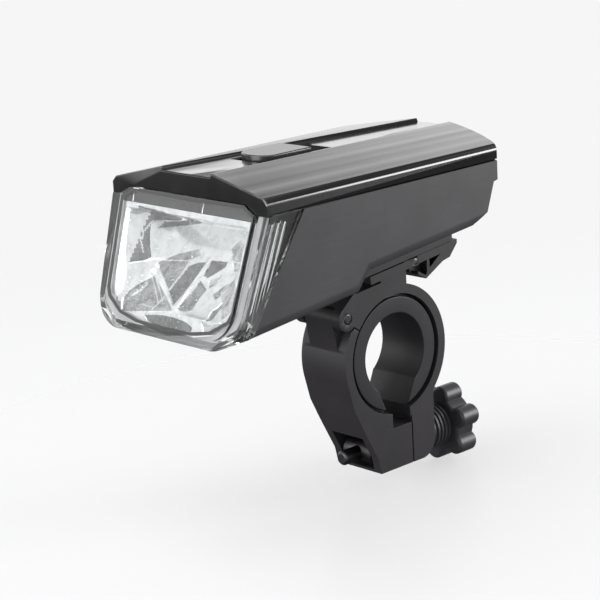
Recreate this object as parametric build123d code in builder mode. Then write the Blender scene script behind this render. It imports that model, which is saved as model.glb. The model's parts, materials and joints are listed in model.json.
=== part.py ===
from build123d import *
import os
from math import cos, radians, sin, sqrt

# Bicycle headlight on a handlebar clamp.
# Frame: origin at the centre of the handlebar bore, +X along the bar,
# the lens faces -Y, +Z is up. All lengths are in millimetres.

os.makedirs("parts", exist_ok=True)

# General values
overrun = 5.0
edge_break = 0.3
fit_gap = 0.1

# Handlebar clamp
bar_radius = 11.1
ring_radius = 19.0
ring_half_width = 8.4
shell_thickness = 2.6
liner_clearance = 0.15
liner_inset = 0.5
liner_groove_width = 0.8
liner_groove_depth = 1.2
vee_half_width = 1.4
vee_angle = 232.0
gap_front = 2.5
gap_rear = 4.2
gap_depth = 1.3
split_angle = 144.0
split_clearance = 0.4

# Jaw hinge at the upper front of the ring
hinge_offset = 2.9
hinge_angle = 142.0
hinge_pin_radius = 1.5
hinge_running_gap = 0.08
knuckle_radius = 2.9
knuckle_half_width = 5.2
knuckle_root_angle = 166.0
knuckle_root_turn = 2.0
knuckle_heel_share = 0.8
ear_radius = 3.3
ear_slant_share = 0.707
ear_side_gap = 0.3
ear_clearance = 0.45

# Clamp lugs, screw, nut and knob
lug_parting = 4.8
lug_parting_gap = 0.4
lug_bottom = 31.8
screw_drop = 27.3
screw_radius = 2.0
screw_tip = 14.4
screw_tip_chamfer = 0.5
screw_clearance = 0.35
screw_running_gap = 0.05
rear_lug_length = 8.5
rear_lug_corner = 5.0
nut_radius = 3.2
nut_centre = 5.6
nut_gap = 0.08
nut_slack = 1.1
nut_side_gap = 0.6
cheek_thickness = 2.6
lug_bulge_angles = (195.0, 214.0, 232.5)
lug_bulges = (0.0, 1.2, 3.4)
lug_nose = 8.7
lug_chin = 7.7
washer_radius = 4.6
washer_thickness = 1.0
washer_gap = 0.05
hub_radius = 5.8
hub_length = 8.4
hub_ring_count = 4
hub_ring_height = 0.5
hub_ring_width = 0.7
hub_ring_pitch = 1.4
knob_core_radius = 8.0
knob_lobe_radius = 2.9
knob_lobe_count = 6
knob_lobe_turn = 20.0
knob_thickness = 7.0
knob_fillet = 0.9
knob_dish_radius = 4.6
knob_dish_depth = 1.2

# Shoe, rail and release latch between clamp and lamp
saddle_rise = 5.75
saddle_front = 9.0
saddle_rear = 5.0
belly_slope_share = 0.10
shoe_half_width = 10.0
shoe_thickness = 2.2
shoe_gap = 0.3
shoe_front = 10.0
shoe_notch_height = 1.3
shoe_notch_length = 4.4
rail_half_width = 10.0
rail_depth = 9.1
rail_front = 12.0
rail_rear = 22.6
rail_end_chamfer = 0.8
rail_upright_tolerance = 10.0
neck_half_width = 3.8
neck_height = 2.3
head_half_width = 6.8
head_height = 3.2
slot_gap = 0.25
latch_front = 5.6
latch_pivot = 7.2
latch_rear = 24.2
latch_half_width = 9.4
latch_neck_half_width = 7.0
latch_pin_radius = 0.9
latch_hook_place = 18.0
latch_hook_length = 2.4
latch_hook_height = 0.8
latch_hook_half_width = 5.0
latch_keel_depth = 5.0
latch_keel_place = 11.6
latch_keel_front = 7.7
latch_keel_rear = 18.4
latch_rib_half_width = 0.5
latch_rib_place = 12.6
latch_pocket_depth = 2.4
latch_pocket_wall = 0.9
latch_tab_length = 3.0
latch_side_gap = 0.3

# Lamp casing
half_width = 29.0
casing_depth = 17.25
belly_step = 4.3
step_rear = 27.6
step_length = 3.9
wall = 2.0
rear_reach = 27.0
rear_bow = 7.6
rear_band = 5.3
rear_band_inset = 1.3
rear_lean_share = 0.32
rear_foot_rise = 2.5
rear_foot_length = 4.2
rear_foot_height = 1.5
bottom_fillet = 3.0
side_window_length = 11.7
seam_lean_share = 0.674
groove_depth = 0.5

# Top cover
lip_depth = 3.1
shoulder_chamfer = 1.2
crest_rise_front = 8.4
crest_rise_rear = 7.2
crest_half_front = 9.6
crest_half_rear = 6.0
cover_wall = 1.8
channel_depth = 0.9
channel_bevel = 0.5
brow_reach = 61.0
brow_wall = 1.6
well_half_width = 6.3
well_step = 19.8
well_length = 26.8
well_depth = 1.9
well_wall = 1.6

# Button and switch
button_half_width = 5.9
button_gap = 0.8
button_length = 16.0
button_nose = 3.2
button_thickness = 2.0
button_proud = 0.6
button_fillet = 0.4
button_travel = 0.8
stem_radius = 1.6
stem_gap = 0.3
plunger_radius = 1.1
switch_half_width = 3.0
switch_height = 2.2
switch_stem_gap = 0.4
window_half_width = 5.6
window_length = 2.2

# Front lens
lens_overhang = 0.2
face_lean_share = 0.345
face_taper = 2.8
face_drop = 31.4
face_corner = 9.5
seam_corner = 3.0
lens_wall = 1.8
window_raise = 0.9
window_top_inset = 7.5
window_side_inset = 3.7
window_low_inset = 5.0
window_top_rise = 1.9
window_corner_drop = 0.2
window_floor = 29.2
window_corner = 7.5
window_frame_gap = 0.25

# Optics behind the lens
optic_gap = 0.6
optic_side_inset = 5.0
optic_depth = 15.0
optic_drop = 26.2
shade_drop = 3.4
shade_top_gap = 0.5
reflector_floor = 1.2
dish_facet_count = 8
dish_height_shares = (0.0, 0.3, 0.6, 0.85, 1.0)
dish_width_shares = (0.95, 0.92, 0.84, 0.68, 0.45)
dish_depth_shares = (0.92, 0.86, 0.72, 0.5, 0.25)
socket_radius = 12.5
socket_back = 13.0
led_half_width = 8.0
led_board_thickness = 1.2
emitter_radius = 2.6
emitter_height = 0.9
emitter_taper = 5.0
sink_side_inset = 9.0
sink_length = 12.0
sink_height = 3.6
fin_count = 6
fin_gap = 2.2
fin_depth = 2.2

# Power pack and electronics
cell_radius = 7.1
cell_end_inset = 5.5
cell_cap_radius = 3.0
cell_cap_length = 1.2
cell_rear_place = 4.4
cell_pitch = 17.0
cell_lift = 1.6
cradle_wall = 1.4
cradle_gap = 0.2
contact_thickness = 0.5
board_thickness = 1.2
board_front_step = 17.5
board_length = 19.0
board_gap = 0.3
charge_board_half_width = 9.0
post_radius = 2.8
post_front_gap = 4.0
post_front_inset = 5.0
post_rear_place = 18.6
post_rear_inset = 16.0
post_split = 4.0
case_screw_radius = 1.0
case_screw_head_radius = 1.9
case_screw_head_height = 1.5
case_screw_length = 9.0
rail_screw_radius = 1.3
rail_screw_head_radius = 2.5
rail_screw_head_height = 1.2
rail_screw_length = 5.2
rail_screw_places = (-8.0, 13.0)
rail_boss_radius = 3.2
rail_boss_height = 2.0
rail_screw_sink = 0.4

# Charging port in the rear wall
port_half_width = 6.0
port_low = 0.8
port_height = 6.0
port_depth = 1.2
port_flap_gap = 0.25
socket_half_width = 4.0
socket_height = 3.2
socket_length = 5.5
socket_shell = 0.4

# Places along the lamp and across it that follow from the sizes above
lens_front = brow_reach + lens_overhang
seam_reach = brow_reach - side_window_length
face_half_low = half_width - face_taper
window_half_top = half_width - window_top_inset
window_half_wide = half_width - window_side_inset
window_half_low = half_width - window_low_inset
optic_half_width = half_width - optic_side_inset
sink_half_width = optic_half_width - sink_side_inset
cell_half_length = half_width - cell_end_inset
post_front_place = cell_pitch - cell_rear_place + cell_radius + post_front_gap + post_radius
post_front_half_spacing = half_width - post_front_inset
post_rear_half_spacing = half_width - post_rear_inset
well_front = brow_reach - well_step
well_rear = well_front - well_length
button_front = well_front - button_gap
button_rear = button_front - button_length
board_front = brow_reach - board_front_step
board_rear = board_front - board_length

# Derived heights above the bore centre
shell_inner = ring_radius - shell_thickness
rail_under = ring_radius + saddle_rise
belly_height = rail_under + rail_depth
parting = belly_height + casing_depth
shoulder_low = parting + lip_depth
shoulder_high = shoulder_low + shoulder_chamfer
crest_front = parting + crest_rise_front
crest_rear = parting + crest_rise_rear
liner_radius = shell_inner - liner_clearance
hinge_distance = ring_radius + hinge_offset
hinge_y = hinge_distance * cos(radians(hinge_angle))
hinge_z = hinge_distance * sin(radians(hinge_angle))
fork_half = ring_half_width - cheek_thickness
nut_half_length = fork_half - nut_side_gap
rear_lug_face = lug_parting + lug_parting_gap / 2 + rear_lug_length
hub_face = rear_lug_face + washer_thickness + 2 * washer_gap
knob_face = hub_face + hub_length


def belly_at(y):
    """Height of the rear belly at a place along the lamp."""
    return belly_height + belly_slope_share * y


def front_belly_at(y):
    """Height of the deeper front belly at a place along the lamp."""
    return belly_at(y) - belly_step


def deck_at(y):
    """Height of the rail's underside at a place along the lamp."""
    return rail_under + belly_slope_share * y


def seam_at(z):
    """Place of the slanted seam between casing and lens at a height."""
    return -seam_reach - seam_lean_share * (parting - z)


def face_at(z):
    """Place of the slanted lens face at a height."""
    return -lens_front - face_lean_share * (parting - z)


def crest_at(y):
    """Height of the two crests beside the channel at a place along the lid."""
    share = (y + brow_reach) / (rear_reach + brow_reach)
    return crest_front + share * (crest_rear - crest_front)


def side_prism(points, low_x, high_x):
    """Solid with a side outline of (y, z) points between two X places."""
    with BuildPart() as prism:
        with BuildSketch(Plane.YZ.offset(low_x)):
            with BuildLine():
                Polyline(*points, close=True)
            make_face()
        extrude(amount=high_x - low_x)
    return prism.part


def block(low, high):
    """Box between two opposite corners."""
    size = [b - a for a, b in zip(low, high)]
    with BuildPart() as box:
        with Locations(tuple((a + b) / 2 for a, b in zip(low, high))):
            Box(*size)
    return box.part


def rod(radius, start, end):
    """Round bar between two points on one line along an axis."""
    run = Vector(*end) - Vector(*start)
    with BuildPart() as bar:
        with BuildSketch(Plane(origin=start, z_dir=run)):
            Circle(radius)
        extrude(amount=run.length)
    return bar.part


def deck_prism(points, front, rear):
    """Solid with an (x, height above the rail's underside) outline, run along the sloped deck."""
    deck = Plane(origin=(0, rear, deck_at(rear)), x_dir=(1, 0, 0), z_dir=(0, -1, -belly_slope_share))
    with BuildPart() as prism:
        with BuildSketch(deck):
            with BuildLine():
                Polyline(*points, close=True)
            make_face()
        extrude(amount=(rear - front) * sqrt(1 + belly_slope_share ** 2))
    return prism.part


def rectangle_points(half, low, high):
    """Corner points of a rectangle centred on the local Y axis."""
    return [(-half, low), (half, low), (half, high), (-half, high)]


# Rear form: the bowed and stepped rear wall is a turned surface about a
# vertical axis inside the lamp.
bow_radius = (half_width ** 2 + rear_bow ** 2) / (2 * rear_bow)
bow_centre = rear_reach - bow_radius


def rear_form(inset):
    """Turned solid whose outer wall is the lamp's rear, moved inward by inset."""
    top = parting + crest_rise_front + overrun
    band_low = parting - rear_band
    band_radius = bow_radius - rear_band_inset
    foot_top = belly_at(rear_foot_length) + rear_foot_height + rear_foot_rise
    foot_radius = band_radius - rear_lean_share * (band_low - foot_top)
    foot_low = foot_top - rear_foot_rise
    heel_radius = foot_radius - rear_foot_length
    base = front_belly_at(-lens_front) - face_drop / 2
    with BuildPart() as form:
        with BuildSketch(Plane.XZ.offset(-bow_centre)):
            with BuildLine():
                Polyline(
                    (0, base),
                    (heel_radius - inset, base),
                    (heel_radius - inset, foot_low + inset / 2),
                    (foot_radius - inset, foot_top + inset / 2),
                    (band_radius - inset, band_low),
                    (bow_radius - inset, band_low + edge_break),
                    (bow_radius - inset, top),
                    (0, top),
                    close=True,
                )
            make_face()
        revolve(axis=Axis((0, bow_centre, 0), (0, 0, 1)))
        front_end = -lens_front - face_drop
        add(block((-bow_radius, front_end, base), (bow_radius, bow_centre, top)))
    return form.part


def lid_form(inset, low, front):
    """Tapering roof of the lamp between the brow and the rear, moved inward by inset."""

    def section(y, crest_half, crest):
        side = half_width - inset
        return [
            (-side, low), (side, low),
            (side, shoulder_low - inset / 2), (side - shoulder_chamfer, shoulder_high - inset),
            (crest_half, crest - inset), (-crest_half, crest - inset),
            (-side + shoulder_chamfer, shoulder_high - inset), (-side, shoulder_low - inset / 2),
        ]

    with BuildPart() as form:
        for y, crest_half in ((front, crest_half_front), (rear_reach + overrun, crest_half_rear)):
            with BuildSketch(Plane.XZ.offset(-y)):
                with BuildLine():
                    Polyline(*section(y, crest_half, crest_at(y)), close=True)
                make_face()
        loft(ruled=True)
    return form.part


def channel_form(extra_depth):
    """Shallow channel that runs along the middle of the roof."""
    with BuildPart() as form:
        for y, crest_half in (
            (-brow_reach - overrun, crest_half_front),
            (rear_reach + overrun, crest_half_rear),
        ):
            floor = crest_at(y) - channel_depth - extra_depth
            with BuildSketch(Plane.XZ.offset(-y)):
                with BuildLine():
                    Polyline(
                        (-crest_half + channel_bevel, floor), (crest_half - channel_bevel, floor),
                        (crest_half, crest_at(y) + edge_break), (-crest_half, crest_at(y) + edge_break),
                        close=True,
                    )
                make_face()
        loft(ruled=True)
    return form.part


def slanted_low(reach, lean_share, foot):
    """Height where a slanted front line meets the front belly, lowered by foot."""
    belly_start = belly_height - belly_step - foot
    run = belly_start - belly_slope_share * (reach + lean_share * parting)
    return run / (1 - belly_slope_share * lean_share)


def rounded_face(half_top, half_low, top, low, corner):
    """Flat trapezoid with two rounded lower corners."""
    with BuildSketch() as flat:
        with BuildLine():
            FilletPolyline(
                (half_top, top), (half_low, low), (-half_low, low), (-half_top, top),
                radius=[0, corner, corner, 0], close=True,
            )
        make_face()
    return flat.sketch


seam_low = slanted_low(seam_reach, seam_lean_share, 0)
seam_stretch = sqrt(1 + seam_lean_share ** 2)
face_stretch = sqrt(1 + face_lean_share ** 2)
seam_plane = Plane(
    origin=(0, seam_at(parting), parting), x_dir=(1, 0, 0), z_dir=(0, -1, seam_lean_share)
)
face_plane = Plane(
    origin=(0, face_at(parting), parting), x_dir=(1, 0, 0), z_dir=(0, -1, face_lean_share)
)


def lens_form(inset):
    """Body of the lens between the casing's seam and the slanted face, moved inward by inset."""
    seam_length = (parting - seam_low) * seam_stretch
    face_length = face_drop * face_stretch
    with BuildPart() as form:
        with BuildSketch(seam_plane):
            add(
                rounded_face(
                    half_width - inset, half_width - inset, 0, -seam_length + inset,
                    seam_corner - inset / 2,
                )
            )
        with BuildSketch(face_plane.offset(-inset)):
            add(
                rounded_face(
                    half_width - inset, face_half_low - inset,
                    inset * face_lean_share, -face_length + inset,
                    face_corner - inset / 2,
                )
            )
        loft(ruled=True)
    return form.part


def window_form(gap, low, high):
    """Raised front window of the lens, widened by gap, between two depths from the face."""
    rise = window_top_rise * face_stretch + gap
    drop = window_corner_drop * face_stretch
    floor = -window_floor * face_stretch - gap
    with BuildPart() as form:
        with BuildSketch(face_plane.offset(low)):
            with BuildLine():
                FilletPolyline(
                    (window_half_top + gap / 2, rise), (window_half_wide + gap, -drop),
                    (window_half_low + gap, floor), (-window_half_low - gap, floor),
                    (-window_half_wide - gap, -drop), (-window_half_top - gap / 2, rise),
                    radius=[edge_break, edge_break, window_corner, window_corner, edge_break, edge_break],
                    close=True,
                )
            make_face()
        extrude(amount=high - low)
    return form.part


def casing_form(inset, rounding=0):
    """Lower half of the lamp body, moved inward by inset, with its long belly edges rounded."""
    front = 0 if inset == 0 else overrun
    rear = rear_reach + overrun
    step_front = -step_rear - step_length
    points = [
        (seam_at(parting) - front, parting + front),
        (rear, parting + front),
        (rear, belly_at(rear) + inset),
        (-step_rear - inset, belly_at(-step_rear - inset) + inset),
        (step_front - inset, front_belly_at(step_front - inset) + inset),
        (seam_at(seam_low) - front, front_belly_at(seam_at(seam_low) - front) + inset),
    ]
    with BuildPart() as form:
        add(side_prism(points, -half_width + inset, half_width - inset))
        if rounding > 0:
            long_edges = form.edges().filter_by(
                lambda edge: edge.center().Z < belly_at(edge.center().Y) + edge_break
                and edge.length > step_length + edge_break and abs(edge.center().X) > edge_break
            )
            fillet(long_edges, rounding)
        add(rear_form(inset), mode=Mode.INTERSECT)
    return form.part


def capsule(radius, low, high, start, end):
    """Slot along Y whose section is a circle stretched from one height to another."""
    with BuildPart() as slot:
        with BuildSketch(Plane.XZ.offset(-start)):
            with Locations((0, low), (0, high)):
                Circle(radius)
            with Locations((0, (low + high) / 2)):
                Rectangle(2 * radius, high - low)
        extrude(amount=-(end - start))
    return slot.part


# Lower casing: belly, side walls and stepped rear, open to the lid and the lens
casing_outer = casing_form(0, bottom_fillet)
casing_inner = casing_form(wall)
post_places = [
    (side * half_spacing, place)
    for half_spacing, place in (
        (post_front_half_spacing, -post_front_place),
        (post_rear_half_spacing, post_rear_place),
    )
    for side in (-1, 1)
]
post_top = parting - post_split
port_floor_z = belly_at(rear_foot_length) + rear_foot_height + rear_foot_rise + port_low
port_ref = bow_centre + bow_radius - rear_band_inset - rear_lean_share * (
    parting - rear_band - port_floor_z
)
port_back = port_ref - port_depth
port_pad = block(
    (-port_half_width - wall, port_back - wall, port_floor_z - wall),
    (port_half_width + wall, rear_reach, port_floor_z + port_height + wall),
)
posts = [rod(post_radius, (x, y, belly_at(y)), (x, y, post_top)) for x, y in post_places]
rail_bosses = [
    rod(rail_boss_radius, (0, y, belly_at(y)), (0, y, belly_at(y) + wall + rail_boss_height))
    for y in rail_screw_places
]
socket_z = port_floor_z + port_height / 2
socket_low = socket_z - socket_height / 2
socket_high = socket_z + socket_height / 2

with BuildPart() as lower_casing:
    add(casing_outer)
    add(casing_inner, mode=Mode.SUBTRACT)
    for post in posts + rail_bosses:
        add(post & casing_outer)
    add(port_pad & casing_outer)
    for x, y in post_places:
        bore_floor = (x, y, belly_at(y) - overrun)
        add(rod(case_screw_radius, bore_floor, (x, y, post_top + overrun)), mode=Mode.SUBTRACT)
        seat = (x, y, belly_at(y) + case_screw_head_height)
        add(rod(case_screw_head_radius, bore_floor, seat), mode=Mode.SUBTRACT)
    for y in rail_screw_places:
        add(
            rod(
                rail_screw_radius,
                (0, y, belly_at(y) - overrun),
                (0, y, belly_at(y) + wall + rail_boss_height - edge_break),
            ),
            mode=Mode.SUBTRACT,
        )
    port_low_corner = (-port_half_width, port_back, port_floor_z)
    port_high_corner = (port_half_width, rear_reach + overrun, port_floor_z + port_height)
    add(block(port_low_corner, port_high_corner), mode=Mode.SUBTRACT)
    add(
        block(
            (-socket_half_width - fit_gap, port_back - 2 * wall, socket_low - fit_gap),
            (socket_half_width + fit_gap, port_back + overrun, socket_high + fit_gap),
        ),
        mode=Mode.SUBTRACT,
    )
lower_casing.part.label = "lower_casing"
export_step(lower_casing.part, "parts/lower_casing.step")

# Top cover: tapering roof with a channel, button well and brow over the lens
lid_outer = lid_form(0, parting, -brow_reach) & rear_form(0)
lid_inner = lid_form(cover_wall, parting - overrun, -brow_reach + brow_wall) & rear_form(cover_wall)
well_floor = crest_at(-button_front) - channel_depth - well_depth
well_box = block((-well_half_width, -well_front, well_floor), (well_half_width, -well_rear, crest_front))
well_shell = block(
    (-well_half_width - well_wall, -well_front - well_wall, well_floor - well_wall),
    (well_half_width + well_wall, -well_rear + well_wall, crest_rear - channel_depth),
)
groove_ring = block(
    (-half_width - overrun, -brow_reach + brow_wall, parting),
    (half_width + overrun, rear_reach + overrun, parting + groove_depth),
)
groove_core = block(
    (-half_width + groove_depth, -brow_reach - overrun, parting),
    (half_width - groove_depth, rear_reach + overrun, parting + groove_depth),
) & rear_form(groove_depth)

with BuildPart() as top_cover:
    add(lid_outer)
    add(lid_inner, mode=Mode.SUBTRACT)
    add(well_shell)
    for x, y in post_places:
        add(rod(post_radius, (x, y, parting), (x, y, shoulder_high + overrun)) & lid_outer)
        add(rod(post_radius, (x, y, post_top), (x, y, parting + wall)))
    add(channel_form(0), mode=Mode.SUBTRACT)
    add(well_box, mode=Mode.SUBTRACT)
    add(groove_ring - groove_core, mode=Mode.SUBTRACT)
    add(window_form(window_frame_gap, -overrun, overrun), mode=Mode.SUBTRACT)
    stem_centre = -(button_front + button_rear) / 2
    add(
        rod(stem_radius + stem_gap, (0, stem_centre, parting), (0, stem_centre, crest_front)),
        mode=Mode.SUBTRACT,
    )
    for x, y in post_places:
        add(
            rod(case_screw_radius, (x, y, post_top - overrun), (x, y, post_top + case_screw_length / 2)),
            mode=Mode.SUBTRACT,
        )
top_cover.part.label = "top_cover"
export_step(top_cover.part, "parts/top_cover.step")

# Clear front lens that wraps round both sides, with a raised window
lens_outer = lens_form(0)
lens_inner = lens_form(lens_wall)

with BuildPart() as front_lens:
    add(lens_outer)
    add(lens_inner, mode=Mode.SUBTRACT)
    add(window_form(0, -lens_wall, window_raise))
front_lens.part.label = "front_lens"
export_step(front_lens.part, "parts/front_lens.step")


def behind_lens(z):
    """Place of the optics' front at a height, just behind the lens wall."""
    return face_at(z) + lens_wall * face_stretch + optic_gap


# Dark shade that hides the light source behind the window's upper edge
shade_low = parting - shade_drop
shade_top = parting + window_top_rise - shade_top_gap
optic_back = face_at(parting) + optic_depth
shade_points = [
    (behind_lens(shade_low) + socket_back / 4, shade_low), (optic_back, shade_low),
    (optic_back, shade_top), (behind_lens(shade_top) + socket_back / 4, shade_top),
]
socket_centre = behind_lens(shade_top) + socket_radius
led_y = socket_centre - socket_radius / 2

with BuildPart() as reflector_shade:
    add(side_prism(shade_points, -optic_half_width, optic_half_width))
    add(rod(socket_radius, (0, socket_centre, shade_low), (0, socket_centre, shade_top)))
    add(
        block(
            (-half_width, optic_back, shade_low - overrun),
            (half_width, optic_back + 2 * socket_radius, shade_top + overrun),
        ),
        mode=Mode.SUBTRACT,
    )
    add(
        block(
            (-led_half_width, led_y - led_half_width / 2, shade_low - overrun),
            (led_half_width, led_y + led_half_width / 2, shade_low + led_board_thickness),
        ),
        mode=Mode.SUBTRACT,
    )
reflector_shade.part.label = "reflector_shade"
export_step(reflector_shade.part, "parts/reflector_shade.step")

# Light source under the shade, firing down into the dish
with BuildPart() as led_board:
    add(
        block(
            (-led_half_width, led_y - led_half_width / 2, shade_low),
            (led_half_width, led_y + led_half_width / 2, shade_low + led_board_thickness),
        )
    )
led_board.part.label = "led_board"
export_step(led_board.part, "parts/led_board.step")

with BuildPart() as led_emitter:
    with BuildSketch(Plane.XY.offset(shade_low)):
        with Locations((0, led_y)):
            Circle(emitter_radius)
    extrude(amount=-emitter_height, taper=emitter_taper)
led_emitter.part.label = "led_emitter"
export_step(led_emitter.part, "parts/led_emitter.step")

# Faceted dish reflector: its bowl is a stack of half-round polygons that lean forward
dish_low = parting - optic_drop


def dish_floor(y):
    """Underside of the reflector block, clear of the casing's floor."""
    return front_belly_at(y) + wall + optic_gap


def dish_section(z, width_share, depth_share):
    """Half-round polygon of the bowl at a height, open towards the lens."""
    front = behind_lens(z)
    half = optic_half_width * width_share
    depth = (optic_back - front) * depth_share
    turns = [180.0 * index / dish_facet_count for index in range(dish_facet_count + 1)]
    arc = [(half * cos(radians(turn)), front + depth * sin(radians(turn))) for turn in turns]
    with BuildSketch(Plane.XY.offset(z)) as section:
        with BuildLine():
            Polyline((half, front - overrun), *arc, (-half, front - overrun), close=True)
        make_face()
    return section.sketch


dish_bottom = dish_floor(optic_back) + reflector_floor
dish_heights = [shade_low - share * (shade_low - dish_bottom) for share in dish_height_shares]
with BuildPart() as dish_bowl:
    for z, width_share, depth_share in zip(dish_heights, dish_width_shares, dish_depth_shares):
        add(dish_section(z, width_share, depth_share))
    loft(ruled=True)

reflector_points = [
    (behind_lens(shade_low), shade_low),
    (behind_lens(dish_low), dish_floor(behind_lens(dish_low))),
    (optic_back - optic_depth / 3, dish_floor(optic_back - optic_depth / 3)),
    (optic_back, dish_low + optic_gap + wall * 2),
    (optic_back, shade_low),
]
with BuildPart() as reflector:
    add(side_prism(reflector_points, -optic_half_width, optic_half_width))
    add(dish_bowl.part, mode=Mode.SUBTRACT)
reflector.part.label = "reflector"
export_step(reflector.part, "parts/reflector.step")

# Finned heat sink above the shade
sink_front = optic_back - sink_length
with BuildPart() as heat_sink:
    sink_high = shade_top + sink_height
    add(block((-sink_half_width, sink_front, shade_top), (sink_half_width, optic_back, sink_high)))
    fin_pitch = 2 * sink_half_width / (fin_count + 1)
    for index in range(fin_count):
        x = -sink_half_width + fin_pitch * (index + 1)
        add(
            block(
                (x - fin_gap / 2, sink_front - overrun, sink_high - fin_depth),
                (x + fin_gap / 2, optic_back + overrun, sink_high + overrun),
            ),
            mode=Mode.SUBTRACT,
        )
heat_sink.part.label = "heat_sink"
export_step(heat_sink.part, "parts/heat_sink.step")

# Push button with its stem, and the switch under it
button_top = crest_at(-button_front) + button_proud
button_low = button_top - button_thickness
board_top = well_floor - well_wall - switch_height - switch_stem_gap * 4
switch_top = board_top + switch_height
plunger_top = switch_top + 3 * switch_stem_gap

with BuildPart() as power_button:
    with BuildSketch(Plane.XY.offset(button_low)):
        with BuildLine():
            Polyline(
                (-button_half_width, -button_front + button_nose),
                (-button_half_width, -button_rear),
                (button_half_width, -button_rear),
                (button_half_width, -button_front + button_nose),
            )
            ThreePointArc(
                (button_half_width, -button_front + button_nose),
                (0, -button_front),
                (-button_half_width, -button_front + button_nose),
            )
        make_face()
    extrude(amount=button_thickness)
    fillet(power_button.faces().sort_by(Axis.Z)[-1].edges(), button_fillet)
    add(rod(stem_radius, (0, stem_centre, plunger_top), (0, stem_centre, button_low)))
power_button.part.label = "power_button"
export_step(power_button.part, "parts/power_button.step")

with BuildPart() as switch_plunger:
    plunger_low = board_top + button_travel + fit_gap
    add(rod(plunger_radius, (0, stem_centre, plunger_low), (0, stem_centre, plunger_top)))
switch_plunger.part.label = "switch_plunger"
export_step(switch_plunger.part, "parts/switch_plunger.step")

with BuildPart() as tact_switch:
    add(
        block(
            (-switch_half_width, stem_centre - switch_half_width, board_top),
            (switch_half_width, stem_centre + switch_half_width, switch_top),
        )
    )
    add(
        rod(plunger_radius + fit_gap, (0, stem_centre, board_top), (0, stem_centre, switch_top + overrun)),
        mode=Mode.SUBTRACT,
    )
tact_switch.part.label = "tact_switch"
export_step(tact_switch.part, "parts/tact_switch.step")

# Small status window at the rear end of the button well
window_high = crest_at(-well_rear) - channel_depth
with BuildPart() as status_window:
    add(
        side_prism(
            [
                (-well_rear, well_floor), (-well_rear, window_high),
                (-well_rear - window_length / 2, window_high),
                (-well_rear - window_length, well_floor),
            ],
            -window_half_width, window_half_width,
        )
    )
status_window.part.label = "status_window"
export_step(status_window.part, "parts/status_window.step")

# Control board under the button, from side wall to side wall
board_reach = post_front_half_spacing - post_radius - board_gap
with BuildPart() as control_board:
    board_low = board_top - board_thickness
    add(block((-board_reach, -board_front, board_low), (board_reach, -board_rear, board_top)))
control_board.part.label = "control_board"
export_step(control_board.part, "parts/control_board.step")

# Two round cells across the lamp, in a cradle, with a contact plate at each side
cell_places = (cell_rear_place - cell_pitch, cell_rear_place)


def cell_height(y):
    """Height of a cell's axis above the sloped belly."""
    return belly_at(y) + wall + cradle_wall + cell_lift + cell_radius


def round_cell(y):
    """One cell along X with a raised cap at its +X end."""
    with BuildPart() as cell:
        with BuildSketch(Plane.YZ.offset(-cell_half_length)):
            with Locations((y, cell_height(y))):
                Circle(cell_radius)
        extrude(amount=2 * cell_half_length)
        chamfer(cell.edges().filter_by(GeomType.CIRCLE), edge_break * 2)
        with BuildSketch(Plane.YZ.offset(cell_half_length)):
            with Locations((y, cell_height(y))):
                Circle(cell_cap_radius)
        extrude(amount=cell_cap_length)
    return cell.part


with BuildPart() as battery_cell_front:
    add(round_cell(cell_places[0]))
battery_cell_front.part.label = "battery_cell_front"
export_step(battery_cell_front.part, "parts/battery_cell_front.step")

with BuildPart() as battery_cell_rear:
    add(round_cell(cell_places[1]))
battery_cell_rear.part.label = "battery_cell_rear"
export_step(battery_cell_rear.part, "parts/battery_cell_rear.step")

cradle_front = cell_places[0] - cell_radius - edge_break
cradle_rear = cell_places[1] + cell_radius - edge_break
cradle_half = cell_half_length - cell_cap_radius
with BuildPart() as battery_cradle:
    add(
        side_prism(
            [
                (cradle_front, belly_at(cradle_front) + wall),
                (cradle_rear, belly_at(cradle_rear) + wall),
                (cradle_rear, cell_height(cradle_rear)),
                (cradle_front, cell_height(cradle_front)),
            ],
            -cradle_half, cradle_half,
        )
    )
    for place in cell_places:
        add(
            rod(
                cell_radius + cradle_gap,
                (-half_width, place, cell_height(place)),
                (half_width, place, cell_height(place)),
            ),
            mode=Mode.SUBTRACT,
        )
    for y in rail_screw_places:
        add(
            rod(rail_boss_radius + cradle_gap, (0, y, belly_at(y)), (0, y, parting)),
            mode=Mode.SUBTRACT,
        )
battery_cradle.part.label = "battery_cradle"
export_step(battery_cradle.part, "parts/battery_cradle.step")

plate_front = cell_places[0] - cell_cap_radius
plate_rear = cell_places[1] + cell_cap_radius
plate_low = cell_height(cell_places[0]) - cell_cap_radius
plate_high = cell_height(cell_places[1]) + cell_cap_radius
with BuildPart() as contact_plate_right:
    x = cell_half_length + cell_cap_length
    add(block((x, plate_front, plate_low), (x + contact_thickness, plate_rear, plate_high)))
contact_plate_right.part.label = "contact_plate_right"
export_step(contact_plate_right.part, "parts/contact_plate_right.step")

with BuildPart() as contact_plate_left:
    x = -cell_half_length
    add(block((x - contact_thickness, plate_front, plate_low), (x, plate_rear, plate_high)))
contact_plate_left.part.label = "contact_plate_left"
export_step(contact_plate_left.part, "parts/contact_plate_left.step")

# Charging socket and its small board behind the rear wall
socket_front = port_back - socket_length
with BuildPart() as charge_socket:
    add(
        block(
            (-socket_half_width, socket_front, socket_low),
            (socket_half_width, port_back - edge_break, socket_high),
        )
    )
    add(
        block(
            (-socket_half_width + socket_shell, socket_front + socket_shell, socket_low + socket_shell),
            (socket_half_width - socket_shell, port_back + overrun, socket_high - socket_shell),
        ),
        mode=Mode.SUBTRACT,
    )
    add(
        block(
            (-socket_half_width / 2, socket_front, socket_z - socket_shell),
            (socket_half_width / 2, port_back - wall, socket_z + socket_shell),
        )
    )
charge_socket.part.label = "charge_socket"
export_step(charge_socket.part, "parts/charge_socket.step")

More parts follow.
